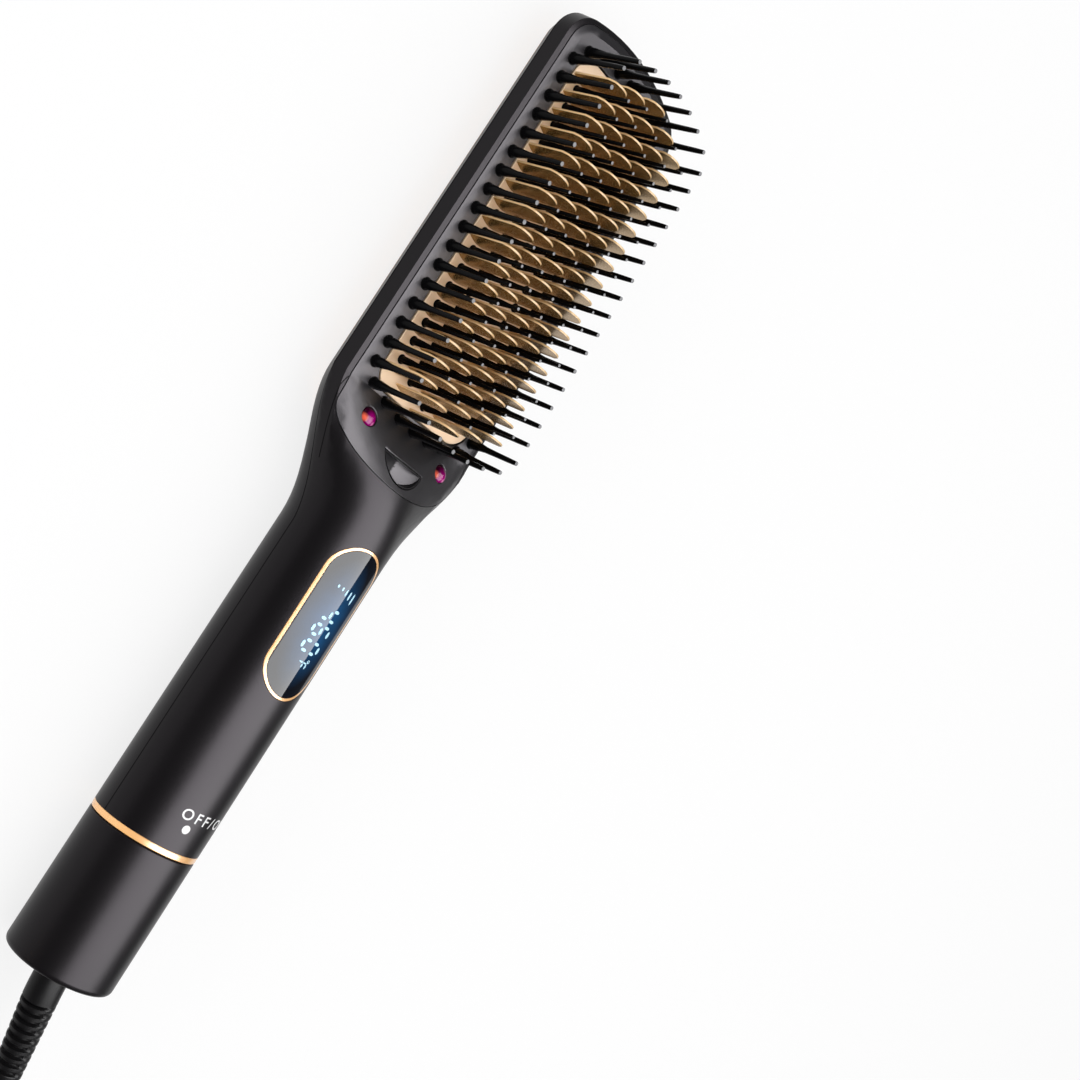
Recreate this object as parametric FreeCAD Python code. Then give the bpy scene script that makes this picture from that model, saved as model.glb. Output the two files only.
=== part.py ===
"""Heated ionic straightening brush with a rotary power knob on its tail, lying on its back.

X runs along the brush towards the tip of the head, Y to its left and Z up, out of the bristles.
The origin is on the table, under the middle of the brush. All sizes are in millimetres.
"""
import FreeCAD, Part
import math
import os

from FreeCAD import Vector

# Lengths along X, from the tip of the head to the end of the knob
head_length = 123.3
neck_length = 40.0
handle_length = 89.8
ring_width = 1.8
knob_length = 40.5

# Section of the head: how far each edge lies inside the widest line, and its height
head_half_width = 29.6
seam_height = 11.3
plate_height = 17.5
crown_inset = 4.9
rim_inset = 0.8
rim_height = 16.1
band_outer_inset = 3.4
band_outer_height = 5.9
band_inner_inset = 7.3
band_inner_height = 2.6
foot_inset = 12.0

# Plan of the head
corner_radius = 10.5
tip_radius = 71.0
smallest_corner = 2.0
window_inset = 2.4
window_arch_reach = 12.8
window_arch_setback = 6.7
band_arch_reach = 24.0
panel_arch_reach = 18.6
band_arch_lead = 6.6

# Section of the handle, and the angles at which the head's edges run out on it
handle_radius = 15.8
edge_angles = (60.0, 75.0, 90.0, 110.0, 125.0, 140.0)
seam_rise_power = 1.3

# Walls and clearances
wall = 2.0
skin = 1.2
seat_gap = 0.05
trim_gap = 0.15
turning_gap = 0.3
bearing_gap = 0.05

# Bristles and heated fins
field_setback = 67.5
outer_pitch = 6.2
outer_rows = 17
outer_inset = 6.4
outer_height = 19.45
end_bow = 8.97
end_bow_radius = 49.8
end_pitch = 6.55
end_count = 7
bristle_foot_radius = 1.5
bristle_radius = 0.8
bristle_tip_radius = 0.7
bristle_foot_share = 0.22
outer_sides = 5
inner_sides = 4
inner_pitch = 5.95
inner_height = 20.0
column_counts = (18, 17, 16)
column_stagger = 1.5
inner_root_radius = 0.95
fin_width = 8.0
fin_height = 16.1
fin_arch = 2.4
fin_thickness = 0.9
fin_foot_thickness = 2.0
fin_arch_steps = 3
fin_margin = 0.3

# Heater stack, from the top down
heater_half_length = 54.6
heater_inset = 9.3
heater_corner = 6.4
heater_end_radius = 300.0
heater_groove = 0.5
heater_plate_thickness = 2.0
frame_margin = 2.2
frame_rim = 6.0
frame_depth = 3.0
element_length = 44.0
element_thickness = 2.4
element_gap = 8.0
pressure_plate_size = (92.0, 18.0, 1.2)
thermistor_radius = 1.2
thermistor_length = 5.0
fuse_radius = 1.1
fuse_length = 12.0
fuse_margin = 3.8
fuse_clearance = 2.4

# Posts and screws in the head
post_radius = 2.3
post_inset = 4.6
post_spread = 35.0
post_neck_back = 9.5
post_neck_inset = 11.6
screw_radius = 1.0

# Jewel lamps and ion outlet on the ramp
jewel_back = 6.8
jewel_inset = 12.9
jewel_radius = 2.5
jewel_dome = 1.3
jewel_stem = 4.5
lamp_board_length = 7.0
lamp_board_thickness = 1.2
lamp_board_margin = 3.0
outlet_back = 11.4
outlet_length = 6.3
outlet_width = 17.0
outlet_depth = 2.6
outlet_lip = 0.8
outlet_thickness = 1.5
needle_back = 13.4
needle_radius = 1.0

# Display
display_setback = 2.5
display_length = 44.3
display_width = 16.9
display_trim_width = 0.8
lens_thickness = 1.5
trim_thickness = 2.0
module_size = (38.0, 13.0, 3.2)
module_drop = 4.2
standoff_radius = 1.2
standoff_spread = (15.0, 5.0)

# Handle electronics
board_size = (74.0, 23.0, 1.6)
board_height = 10.0
board_start = 4.0
rib_thickness = 2.0
rib_spread = 28.0
generator_size = (24.0, 14.0, 10.0)
lead_radius = 1.2
lead_height = 18.0
wire_radius = 0.8
wire_offset = 4.0
wire_overlap = 2.0

# Tail: tube, switch and knob
tube_radius = 13.2
tube_wall = 2.0
tube_root = 12.0
land_width = 3.0
knob_wall = 2.3
knob_end_wall = 2.5
knob_edge = 1.2
knob_throw = 53.0
lug_distance = 13.0
lug_length = 5.0
lug_angle = 16.0
lug_reach = 4.0
slot_margin = 3.0
rotor_bore = 7.0
wiper_thickness = 0.6
wiper_size = (5.0, 3.0)
switch_board_thickness = 1.6

# Cord, boot and plug
cord_radius = 2.8
boot_root_radius = 4.85
boot_tip_radius = 3.6
boot_length = 48.0
boot_straight = 4.5
boot_flange_radius = 7.0
boot_flange_thickness = 2.0
boot_sides = 12
rib_count = 6
rib_pitch = 5.0
rib_start = 2.5
rib_slot_width = 1.3
rib_core = 0.55
lead_route = (
    (-213.7, -15.3, 12.4),
    (-234.0, -22.5, 5.6),
    (-255.0, -26.3, 2.8),
)
coil_centre = (-262.0, 13.3)
coil_outer_turn = 39.8
coil_turns = 4
coil_layers = 2
tail_route = (
    (-262.0, 53.1, 8.4),
    (-240.0, 55.0, 9.0),
    (-217.0, 55.0, 9.0),
)
tie_width = 6.0
tie_thickness = 1.0
plug_length = 30.0
plug_width = 25.0
plug_height = 18.0
plug_neck_radius = 4.4
plug_neck_length = 10.0
plug_corner = 4.0
blade_size = (17.5, 1.5, 6.35)
blade_spacing = 12.7

# How finely the shapes are made
neck_sections = 7
pin_sides = 6
beyond = 60.0

# Stations along X that follow from the lengths
overall_length = head_length + neck_length + handle_length + ring_width + knob_length
tip_x = overall_length / 2
neck_x = tip_x - head_length
handle_x = neck_x - neck_length
ring_x = handle_x - handle_length
knob_x = ring_x - ring_width
tail_x = knob_x - knob_length
field_x = tip_x - field_setback
axis_height = handle_radius
outer_offset = head_half_width - outer_inset
heater_half_width = head_half_width - heater_inset
side_column = heater_half_width - fin_margin - fin_width / 2
column_offsets = (0.0, (side_column + column_stagger) / 2, side_column)
fuse_offset = heater_half_width - frame_rim - fuse_margin
element_half_width = fuse_offset - fuse_radius - fuse_clearance
jewel_offset = head_half_width - jewel_inset
post_offset = head_half_width - post_inset
post_neck_offset = head_half_width - post_neck_inset
pi = math.pi


def line(a, b):
    return Part.LineSegment(Vector(*a), Vector(*b)).toShape()


def arc(a, middle, b):
    return Part.Arc(Vector(*a), Vector(*middle), Vector(*b)).toShape()


def box(size, corner):
    return Part.makeBox(size[0], size[1], size[2], Vector(*corner))


def centred_box(size, middle_x, middle_y, low_z):
    return box(size, (middle_x - size[0] / 2, middle_y - size[1] / 2, low_z))


def rod(radius, start, end):
    start = Vector(*start)
    along = Vector(*end) - start
    return Part.makeCylinder(radius, along.Length, start, along)


def flat_sided_pin(radius, start, end):
    """An upright or lengthwise pin with flat sides, measured over its corners."""
    start = Vector(*start)
    along = Vector(*end) - start
    upright = abs(along.z) > 0
    corners = []
    for i in range(pin_sides + 1):
        angle = 2 * pi * (i + 0.5) / pin_sides
        across, up = radius * math.cos(angle), radius * math.sin(angle)
        corners.append(start + (Vector(across, up, 0) if upright else Vector(0, across, up)))
    return Part.Face(Part.makePolygon(corners)).extrude(along)


def save(node, shape):
    shape.exportStep("parts/%s.step" % node)


def export(node, solids):
    save(node, solids[0] if len(solids) == 1 else Part.makeCompound(solids))


# ---------------------------------------------------------------- plan outlines


def rounded_end(start_x, tip, half_width, corner, bow, height):
    """Straight side, round corner and bowed end, from (start_x, half_width) round to the other side."""
    bow_x = tip - bow
    corner_y = half_width - corner
    corner_x = bow_x + math.sqrt((bow - corner) ** 2 - corner_y**2)
    lean = math.atan2(corner_y, corner_x - bow_x)
    middle = (lean + pi / 2) / 2
    meet = (bow_x + bow * math.cos(lean), bow * math.sin(lean))
    bend = (corner_x + corner * math.cos(middle), corner_y + corner * math.sin(middle))
    return [
        line((start_x, half_width, height), (corner_x, half_width, height)),
        arc((corner_x, half_width, height), (*bend, height), (*meet, height)),
        arc((*meet, height), (tip, 0, height), (meet[0], -meet[1], height)),
        arc((meet[0], -meet[1], height), (bend[0], -bend[1], height), (corner_x, -half_width, height)),
        line((corner_x, -half_width, height), (start_x, -half_width, height)),
    ]


def head_outline(inset, height, wall_inset=0.0):
    """The head's plan at one level, moved in from its widest line, and closed straight across the neck."""
    moved = inset + wall_inset
    half_width = head_half_width - moved
    corner = max(corner_radius - moved, smallest_corner)
    edges = rounded_end(neck_x, tip_x - moved, half_width, corner, tip_radius - moved, height)
    return Part.Wire(edges + [line((neck_x, -half_width, height), (neck_x, half_width, height))])


def arch_prism(inset, arch_x, reach, low=-beyond, high=beyond):
    """A vertical prism: the head's plan at an inset, with an elliptical arch at the neck end."""
    half_width = head_half_width - inset
    corner = max(corner_radius - inset, smallest_corner)
    edges = rounded_end(arch_x, tip_x - inset, half_width, corner, tip_radius - inset, low)
    ellipse = Part.Ellipse(Vector(0, 0, 0), max(half_width, reach), min(half_width, reach))
    ellipse.Center = Vector(arch_x, 0, low)
    if half_width > reach:
        ellipse.XAxis = Vector(0, 1, 0)
        arch = Part.ArcOfEllipse(ellipse, 0, pi).toShape()
    else:
        arch = Part.ArcOfEllipse(ellipse, pi / 2, 3 * pi / 2).toShape()
    return Part.Face(Part.Wire(edges + [arch])).extrude(Vector(0, 0, high - low))


def heater_prism(margin, low, high):
    """A vertical prism on the heater's plan, which is the same at both ends."""
    half_length, half_width = heater_half_length + margin, heater_half_width + margin
    corner = heater_corner + margin
    half = Part.Wire(rounded_end(0, half_length, half_width, corner, heater_end_radius, low))
    other = half.copy()
    other.rotate(Vector(0, 0, 0), Vector(0, 0, 1), 180)
    outline = Part.Wire(half.Edges + other.Edges)
    prism = Part.Face(outline).extrude(Vector(0, 0, high - low))
    prism.translate(Vector(field_x, 0, 0))
    return prism


def stadium_prism(middle_x, length, width, low, high):
    """A vertical prism with straight sides and half-round ends."""
    reach = length / 2 - width / 2
    side = width / 2
    outline = [
        line((-reach, side, low), (reach, side, low)),
        arc((reach, side, low), (reach + side, 0, low), (reach, -side, low)),
        line((reach, -side, low), (-reach, -side, low)),
        arc((-reach, -side, low), (-reach - side, 0, low), (-reach, side, low)),
    ]
    prism = Part.Face(Part.Wire(outline)).extrude(Vector(0, 0, high - low))
    prism.translate(Vector(middle_x, 0, 0))
    return prism


# ---------------------------------------------------------------- the outer form


def head_levels(inner):
    """Inset and height of each level of the head from the table up, for the outside or the cavity."""
    levels = (
        (foot_inset, 0.0),
        (band_inner_inset, band_inner_height),
        (band_outer_inset, band_outer_height),
        (0.0, seam_height),
        (rim_inset, rim_height),
        (crown_inset, plate_height),
    )
    squeeze = 1 - 2 * inner / plate_height
    return [(inset, inner + height * squeeze) for inset, height in levels]


def head_form(inner):
    wires = [head_outline(inset, height, inner) for inset, height in head_levels(inner)]
    return Part.makeLoft(wires, True, True)


def smooth(share):
    return share * share * (3 - 2 * share)


def between(a, b, share):
    return a + (b - a) * share


def on_handle(angle, inner):
    radius = handle_radius - inner
    return (
        radius * math.sin(math.radians(angle)),
        axis_height + radius * math.cos(math.radians(angle)),
    )


def neck_section(share, inner):
    """The section at a share of the way from the head to the handle, going over to a circle."""
    levels = head_levels(inner)[::-1]
    corners = [(head_half_width - inner - inset, height) for inset, height in levels]
    narrowing = smooth(share)
    climbing = math.sin(share * pi / 2)
    x = between(neck_x, handle_x, share)

    def place(head_point, angle, upper):
        round_point = on_handle(angle, inner)
        climb = climbing if upper else narrowing
        return (
            x,
            between(head_point[0], round_point[0], narrowing),
            between(head_point[1], round_point[1], climb),
        )

    points = [place(c, a, i < 3) for i, (c, a) in enumerate(zip(corners, edge_angles))]
    top = place((0.0, corners[0][1]), 0.0, True)
    bottom = place((0.0, corners[-1][1]), 180.0, False)

    def run(a, middle, b):
        return line(a, b) if share == 0 else arc(a, middle, b)

    def mirrored(p):
        return (p[0], -p[1], p[2])

    side = []
    for i in range(len(points) - 1):
        halfway = ((corners[i][0] + corners[i + 1][0]) / 2, (corners[i][1] + corners[i + 1][1]) / 2)
        middle = place(halfway, (edge_angles[i] + edge_angles[i + 1]) / 2, i < 2)
        side.append((points[i], middle, points[i + 1]))
    edges = [run(mirrored(points[0]), top, points[0])]
    edges += [run(*s) for s in side]
    edges += [run(points[-1], bottom, mirrored(points[-1]))]
    edges += [run(mirrored(b), mirrored(m), mirrored(a)) for a, m, b in reversed(side)]
    return Part.Wire(edges)


def outer_form(inner=0.0, tail=None):
    """Head, neck and handle as one solid; a positive inner gives the cavity inside the walls."""
    shares = [i / (neck_sections - 1) for i in range(neck_sections)]
    neck = Part.makeLoft([neck_section(s, inner) for s in shares], True, False)
    end = ring_x if tail is None else tail
    handle = rod(handle_radius - inner, (handle_x, 0, axis_height), (end, 0, axis_height))
    return head_form(inner).fuse([neck, handle]).removeSplitter()


def seam_block(shift=0.0):
    """Everything above the seam between the front and back shells."""
    steps = 6
    rise = axis_height - seam_height
    curve = []
    for i in range(steps + 1):
        share = i / steps
        height = seam_height + rise * share**seam_rise_power + shift
        curve.append(Vector(between(neck_x, handle_x, share), -beyond, height))
    spline = Part.BSplineCurve()
    spline.interpolate(curve)
    start, end = curve[0], curve[-1]
    front_x, back_x = tip_x + beyond, tail_x - beyond
    edges = [
        line((front_x, -beyond, start.z), tuple(start)),
        spline.toShape(),
        line(tuple(end), (back_x, -beyond, end.z)),
        line((back_x, -beyond, end.z), (back_x, -beyond, beyond)),
        line((back_x, -beyond, beyond), (front_x, -beyond, beyond)),
        line((front_x, -beyond, beyond), (front_x, -beyond, start.z)),
    ]
    return Part.Face(Part.Wire(edges)).extrude(Vector(0, 2 * beyond, 0))


def lowered(shape, distance):
    moved = shape.copy()
    moved.translate(Vector(0, 0, -distance))
    return moved


def surface_height(shape, x, y):
    """Height of a solid's top at a point of the plan."""
    return line((x, y, 0), (x, y, beyond)).common(shape).BoundBox.ZMax


# ---------------------------------------------------------------- casing


def window_prism(margin, low=-beyond, high=beyond):
    """The opening in the front shell that the bristle plate fills."""
    arch_x = neck_x - window_arch_setback
    return arch_prism(window_inset - margin, arch_x, window_arch_reach + margin, low, high)


def band_prism(margin=0.0):
    return arch_prism(band_outer_inset - margin, neck_x + band_arch_lead, band_arch_reach + margin)


def panel_prism(margin=0.0):
    return arch_prism(band_inner_inset - margin, neck_x + band_arch_lead, panel_arch_reach + margin)


def display_x():
    return handle_x + display_setback - display_length / 2


def display_prism(margin):
    return stadium_prism(
        display_x(), display_length + 2 * margin, display_width + 2 * margin, axis_height, beyond
    )


def outlet_prism(margin, low, high):
    """A vertical prism with a straight edge towards the head and a bowed one towards the handle."""
    edge_x = neck_x - outlet_back + margin
    bow_x = edge_x - outlet_length - 2 * margin
    side = outlet_width / 2 + margin
    outline = [
        line((edge_x, -side, low), (edge_x, side, low)),
        arc((edge_x, side, low), (bow_x, 0, low), (edge_x, -side, low)),
    ]
    return Part.Face(Part.Wire(outline)).extrude(Vector(0, 0, high - low))


def outlet_floor(form):
    """Points (x, z) of the scoop's floor under its straight edge and under the middle of its bowed one."""
    edge_x = neck_x - outlet_back
    bow_x = edge_x - outlet_length
    low = surface_height(form, edge_x, 0) - outlet_depth
    high = surface_height(form, bow_x, 0) - outlet_lip
    return (edge_x, low), (bow_x, high)


def make_outlet(form):
    """A scoop whose floor climbs from the deep straight edge to the lip, with the needle standing in it."""
    (edge_x, low), (bow_x, high) = outlet_floor(form)
    top = [(edge_x, low), (bow_x, high)]
    corners = top + [(x, z - outlet_thickness) for x, z in reversed(top)]
    side = outlet_width / 2
    floor = Part.Face(Part.makePolygon([Vector(x, -side, z) for x, z in corners + corners[:1]]))
    scoop = floor.extrude(Vector(0, outlet_width, 0)).common(outlet_prism(0, 0, beyond))
    needle_x = neck_x - needle_back
    needle_top = between(low, high, (edge_x - needle_x) / outlet_length) + needle_radius
    hole = flat_sided_pin(needle_radius + seat_gap, (needle_x, 0, 0), (needle_x, 0, beyond))
    save("ion_outlet", scoop.cut(hole))
    needle_low = lead_height - lead_radius
    save("ion_needle", flat_sided_pin(needle_radius, (needle_x, 0, needle_low), (needle_x, 0, needle_top)))


def post_places():
    return [(field_x + end * post_spread, side * post_offset) for end in (-1, 1) for side in (-1, 1)]


def lamp_places():
    return [(neck_x - jewel_back, side * jewel_offset) for side in (1, -1)]


def ramp_normal():
    """Direction square to the ramp at the jewels."""
    share = jewel_back / neck_length
    climb = (2 * handle_radius - plate_height) * math.cos(share * pi / 2) * pi / 2 / neck_length
    return Vector(climb, 0, 1).normalize()


def make_shells(form, cavity):
    hollow = form.cut(cavity)
    above = seam_block()
    front = hollow.common(above)
    front = front.cut(window_prism(trim_gap, plate_height - 4 * wall))
    front = front.cut(display_prism(display_trim_width + trim_gap))
    recess = form.common(band_prism(trim_gap)).cut(lowered(form, -skin - seat_gap))
    back = hollow.cut(seam_block(-trim_gap)).cut(recess)
    underside = plate_height - wall
    above_recess = lowered(form, -skin - seat_gap)
    under_plate = lowered(form, wall)
    for x, y in post_places():
        post = flat_sided_pin(post_radius, (x, y, 0), (x, y, underside))
        post = post.common(above_recess).common(under_plate)
        bore = flat_sided_pin(screw_radius + seat_gap, (x, y, 0), (x, y, underside + 1))
        back = back.fuse(post).cut(bore)
    for side in (-1, 1):
        x, y = neck_x - post_neck_back, side * post_neck_offset
        post = flat_sided_pin(post_radius, (x, y, 0), (x, y, lamp_board_height()))
        back = back.fuse(post.common(above_recess))
    for side in (-1, 1):
        x = board_middle() + side * rib_spread
        start_x = x - rib_thickness / 2
        end_x = start_x + rib_thickness
        disc = rod(handle_radius - wall, (start_x, 0, axis_height), (end_x, 0, axis_height))
        below = box((rib_thickness, 2 * handle_radius, board_height), (start_x, -handle_radius, 0))
        back = back.fuse(disc.common(below))
    return front, back


def lamp_board_height():
    return board_height + board_size[2] + 2 * wire_radius + turning_gap


def board_middle():
    return ring_x + tube_root + board_start + board_size[0] / 2


def make_bristle_plate(form):
    plate = form.common(window_prism(0)).cut(lowered(form, wall))
    plate = plate.cut(heater_prism(heater_groove, 0, beyond))
    plate = plate.cut(outlet_prism(trim_gap, 0, beyond))
    normal = ramp_normal()
    for x, y in lamp_places():
        foot = Vector(x, y, surface_height(form, x, y))
        bore = Part.makeCylinder(jewel_radius + trim_gap, 4 * wall, foot - normal * 2 * wall, normal)
        plate = plate.cut(bore)
    return plate


def make_jewel(form, x, y):
    normal = ramp_normal()
    foot = Vector(x, y, surface_height(form, x, y))
    stem = Part.makeCylinder(jewel_radius, jewel_stem, foot - normal * jewel_stem, normal)
    ball = (jewel_radius**2 + jewel_dome**2) / (2 * jewel_dome)
    dome = Part.makeSphere(ball, foot + normal * (jewel_dome - ball))
    dome = dome.common(Part.makeCylinder(jewel_radius, 2 * jewel_dome, foot, normal))
    return stem.fuse(dome).removeSplitter()


# ---------------------------------------------------------------- bristles and fins


def polygon(radius, height, sides):
    corners = []
    for i in range(sides + 1):
        angle = 2 * pi * (i + 0.5) / sides
        corners.append(Vector(radius * math.cos(angle), radius * math.sin(angle), height))
    return Part.makePolygon(corners)


def placed(shape, x, y, z):
    moved = shape.copy()
    moved.translate(Vector(x, y, z))
    return moved


def outer_places():
    places = []
    half = (outer_rows - 1) / 2
    for row in range(outer_rows):
        for side in (-1, 1):
            places.append((field_x + (row - half) * outer_pitch, side * outer_offset))
    reach = half * outer_pitch + end_bow
    for end in (-1, 1):
        for k in range(end_count):
            y = (k - (end_count - 1) / 2) * end_pitch
            sag = end_bow_radius - math.sqrt(end_bow_radius**2 - y * y)
            places.append((field_x + end * (reach - sag), y))
    return places


def make_outer_bristles(form):
    foot_height = outer_height * bristle_foot_share
    levels = [
        polygon(bristle_foot_radius, 0, outer_sides),
        polygon(bristle_radius, foot_height, outer_sides),
        polygon(bristle_tip_radius, outer_height, outer_sides),
    ]
    bristle = Part.makeLoft(levels, True, True)
    solids = []
    for x, y in outer_places():
        one = placed(bristle, x, y, plate_height)
        solids.append(one.cut(form).Solids[0] if x < neck_x + bristle_foot_radius else one)
    return solids


def column_places(extra):
    """Places along each column of the heated field; extra 1 gives the fins round the bristles."""
    places = []
    for offset, count in zip(column_offsets, column_counts):
        number = count + extra
        for side in (-1, 1) if offset else (1,):
            for i in range(number):
                places.append((field_x + (i - (number - 1) / 2) * inner_pitch, side * offset))
    return places


def make_inner_bristles():
    ends = ((inner_root_radius, 0), (bristle_tip_radius, inner_height))
    levels = [polygon(radius, height, inner_sides) for radius, height in ends]
    bristle = Part.makeLoft(levels, True, True)
    return [placed(bristle, x, y, plate_height) for x, y in column_places(0)]


def fin_outline():
    """Corners of a fin's face: straight sides and an arched top, from -Y round to +Y."""
    half = fin_width / 2
    shoulder = fin_height - fin_arch
    bow = (half**2 + fin_arch**2) / (2 * fin_arch)
    reach = math.asin(half / bow)
    corners = [(-half, 0)]
    for i in range(fin_arch_steps + 1):
        angle = reach * (2 * i / fin_arch_steps - 1)
        corners.append((bow * math.sin(angle), shoulder + bow * (math.cos(angle) - math.cos(reach))))
    return corners + [(half, 0)]


def make_fins():
    """Blades that thin from the root to the top, cut from a wedge by the fin's outline."""
    outline = fin_outline()
    foot, top, half = fin_foot_thickness / 2, fin_thickness / 2, fin_width / 2
    face = Part.Face(Part.makePolygon([Vector(-foot, y, z) for y, z in outline + outline[:1]]))
    around = ((-foot, 0), (foot, 0), (top, fin_height), (-top, fin_height), (-foot, 0))
    wedge = Part.Face(Part.makePolygon([Vector(x, -half, z) for x, z in around]))
    fin = face.extrude(Vector(2 * foot, 0, 0)).common(wedge.extrude(Vector(0, fin_width, 0))).Solids[0]
    return [placed(fin, x, y, plate_height) for x, y in column_places(1)]


# ---------------------------------------------------------------- heater stack


def make_heater():
    top = plate_height
    plate_low = top - heater_plate_thickness
    frame_low = plate_low - frame_depth
    save("heater_plate", heater_prism(0, plate_low, top))
    frame = heater_prism(frame_margin, frame_low, plate_low)
    save("heater_frame", frame.cut(heater_prism(-frame_rim, frame_low - 1, top)))
    element_low = plate_low - element_thickness
    element_size = (element_length, 2 * element_half_width, element_thickness)
    shift = (element_length + element_gap) / 2
    elements = [centred_box(element_size, field_x + end * shift, 0, element_low) for end in (-1, 1)]
    export("heater_elements", elements)
    pressure_low = element_low - pressure_plate_size[2]
    save("pressure_plate", centred_box(pressure_plate_size, field_x, 0, pressure_low))
    bead_size = (2 * thermistor_radius, thermistor_length, 2 * thermistor_radius)
    save("thermistor", centred_box(bead_size, field_x, 0, plate_low - 2 * thermistor_radius))
    fuse_z = plate_low - fuse_radius
    fuse_start = (field_x - fuse_length / 2, fuse_offset, fuse_z)
    fuse_end = (field_x + fuse_length / 2, fuse_offset, fuse_z)
    save("thermal_fuse", flat_sided_pin(fuse_radius, fuse_start, fuse_end))


def make_screws():
    underside = plate_height - wall
    low = band_outer_height + skin + turning_gap
    high = underside - 2 * screw_radius
    screws = [flat_sided_pin(screw_radius, (x, y, low), (x, y, high)) for x, y in post_places()]
    export("head_screws", screws)


# ---------------------------------------------------------------- handle insides


def make_display(form):
    window = display_prism(0)
    save("display_lens", form.common(window).cut(lowered(form, lens_thickness)))
    frame = form.common(display_prism(display_trim_width)).cut(display_prism(seat_gap))
    save("display_trim", frame.cut(lowered(form, trim_thickness)))
    low = 2 * handle_radius - module_drop - module_size[2]
    save("display_module", centred_box(module_size, display_x(), 0, low))
    board_top = board_height + board_size[2]
    posts = []
    for along in (-1, 1):
        for side in (-1, 1):
            x = display_x() + along * standoff_spread[0]
            y = side * standoff_spread[1]
            posts.append(flat_sided_pin(standoff_radius, (x, y, board_top), (x, y, low)))
    export("display_standoffs", posts)


def make_electronics():
    middle = board_middle()
    board_top = board_height + board_size[2]
    save("control_board", centred_box(board_size, middle, 0, board_height))
    generator_x = middle - board_size[0] / 2 + generator_size[0] / 2
    save("ion_generator", centred_box(generator_size, generator_x, 0, board_top))
    lead_start = generator_x + generator_size[0] / 2
    lead_end = neck_x - needle_back - needle_radius
    save("ion_lead", flat_sided_pin(lead_radius, (lead_start, 0, lead_height), (lead_end, 0, lead_height)))
    wire_z = board_top + wire_radius
    wire_end = field_x - heater_half_length - frame_margin
    wire_start = middle + board_size[0] / 2 - wire_overlap
    wires = []
    for side in (-1, 1):
        y = side * wire_offset
        wires.append(flat_sided_pin(wire_radius, (wire_start, y, wire_z), (wire_end, y, wire_z)))
    export("heater_wires", wires)
    board_width = 2 * (post_neck_offset + lamp_board_margin)
    lamp_board_size = (lamp_board_length, board_width, lamp_board_thickness)
    save("lamp_board", centred_box(lamp_board_size, neck_x - post_neck_back, 0, lamp_board_height()))


# ---------------------------------------------------------------- tail


def turned(profile):
    """A solid of revolution about the handle's axis from (x, radius) points."""
    points = [Vector(x, 0, axis_height + r) for x, r in profile]
    face = Part.Face(Part.makePolygon(points + points[:1]))
    return face.revolve(Vector(0, 0, axis_height), Vector(1, 0, 0), 360)


def sector(low_radius, high_radius, start_x, length, first, sweep):
    """A slice of a ring about the handle's axis; angles run from straight down towards +Y."""
    corners = [
        Vector(start_x, 0, axis_height - low_radius),
        Vector(start_x + length, 0, axis_height - low_radius),
        Vector(start_x + length, 0, axis_height - high_radius),
        Vector(start_x, 0, axis_height - high_radius),
    ]
    face = Part.Face(Part.makePolygon(corners + corners[:1]))
    face.rotate(Vector(0, 0, axis_height), Vector(1, 0, 0), first)
    return face.revolve(Vector(0, 0, axis_height), Vector(1, 0, 0), sweep)


def make_tail():
    inner = tube_radius - tube_wall
    end = tail_x + knob_end_wall + turning_gap
    land_radius = knob_inner() - bearing_gap
    root = ring_x + tube_root
    lug_x = knob_x - lug_distance
    land_starts = (knob_x - turning_gap, end + land_width)
    bore = boot_root_radius + seat_gap
    front_land = knob_x - turning_gap - land_width
    profile = [
        (root, inner),
        (root, land_radius),
        (front_land, land_radius),
        (front_land, tube_radius),
        (end + land_width, tube_radius),
        (end + land_width, land_radius),
        (end, land_radius),
        (end, bore),
        (end + tube_wall, bore),
        (end + tube_wall, inner),
    ]
    tube = turned(profile)
    slot = sector(
        inner - 1,
        tube_radius + 1,
        lug_x - lug_length - turning_gap,
        lug_length + 2 * turning_gap,
        -lug_angle / 2 - slot_margin,
        lug_angle + knob_throw + 2 * slot_margin,
    )
    save("tail_tube", tube.cut(slot))
    ring_bore = land_radius + seat_gap
    ring = [(ring_x, ring_bore), (ring_x, handle_radius), (knob_x, handle_radius), (knob_x, ring_bore)]
    save("collar_ring", turned(ring))
    make_knob(lug_x)
    rotor_radius = inner - turning_gap
    rotor = turned(
        [
            (lug_x, rotor_bore),
            (lug_x, rotor_radius),
            (lug_x - lug_length, rotor_radius),
            (lug_x - lug_length, rotor_bore),
        ]
    )
    notch_low = knob_inner() - lug_reach
    notch_start = lug_x - lug_length - 1
    notch = sector(notch_low, tube_radius, notch_start, lug_length + 2, -lug_angle / 2, lug_angle)
    save("switch_rotor", rotor.cut(notch))
    wiper_x = lug_x + wiper_thickness
    wiper_length, wiper_height = wiper_size
    wiper_corner = (lug_x, -wiper_length / 2, axis_height + rotor_bore)
    save("switch_wiper", box((wiper_thickness, wiper_length, wiper_height), wiper_corner))
    board_x = wiper_x + turning_gap
    board_side = (inner - trim_gap) * math.sqrt(2)
    board_corner = (board_x, -board_side / 2, axis_height - board_side / 2)
    save("switch_board", box((switch_board_thickness, board_side, board_side), board_corner))


def knob_inner():
    return handle_radius - knob_wall


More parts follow.
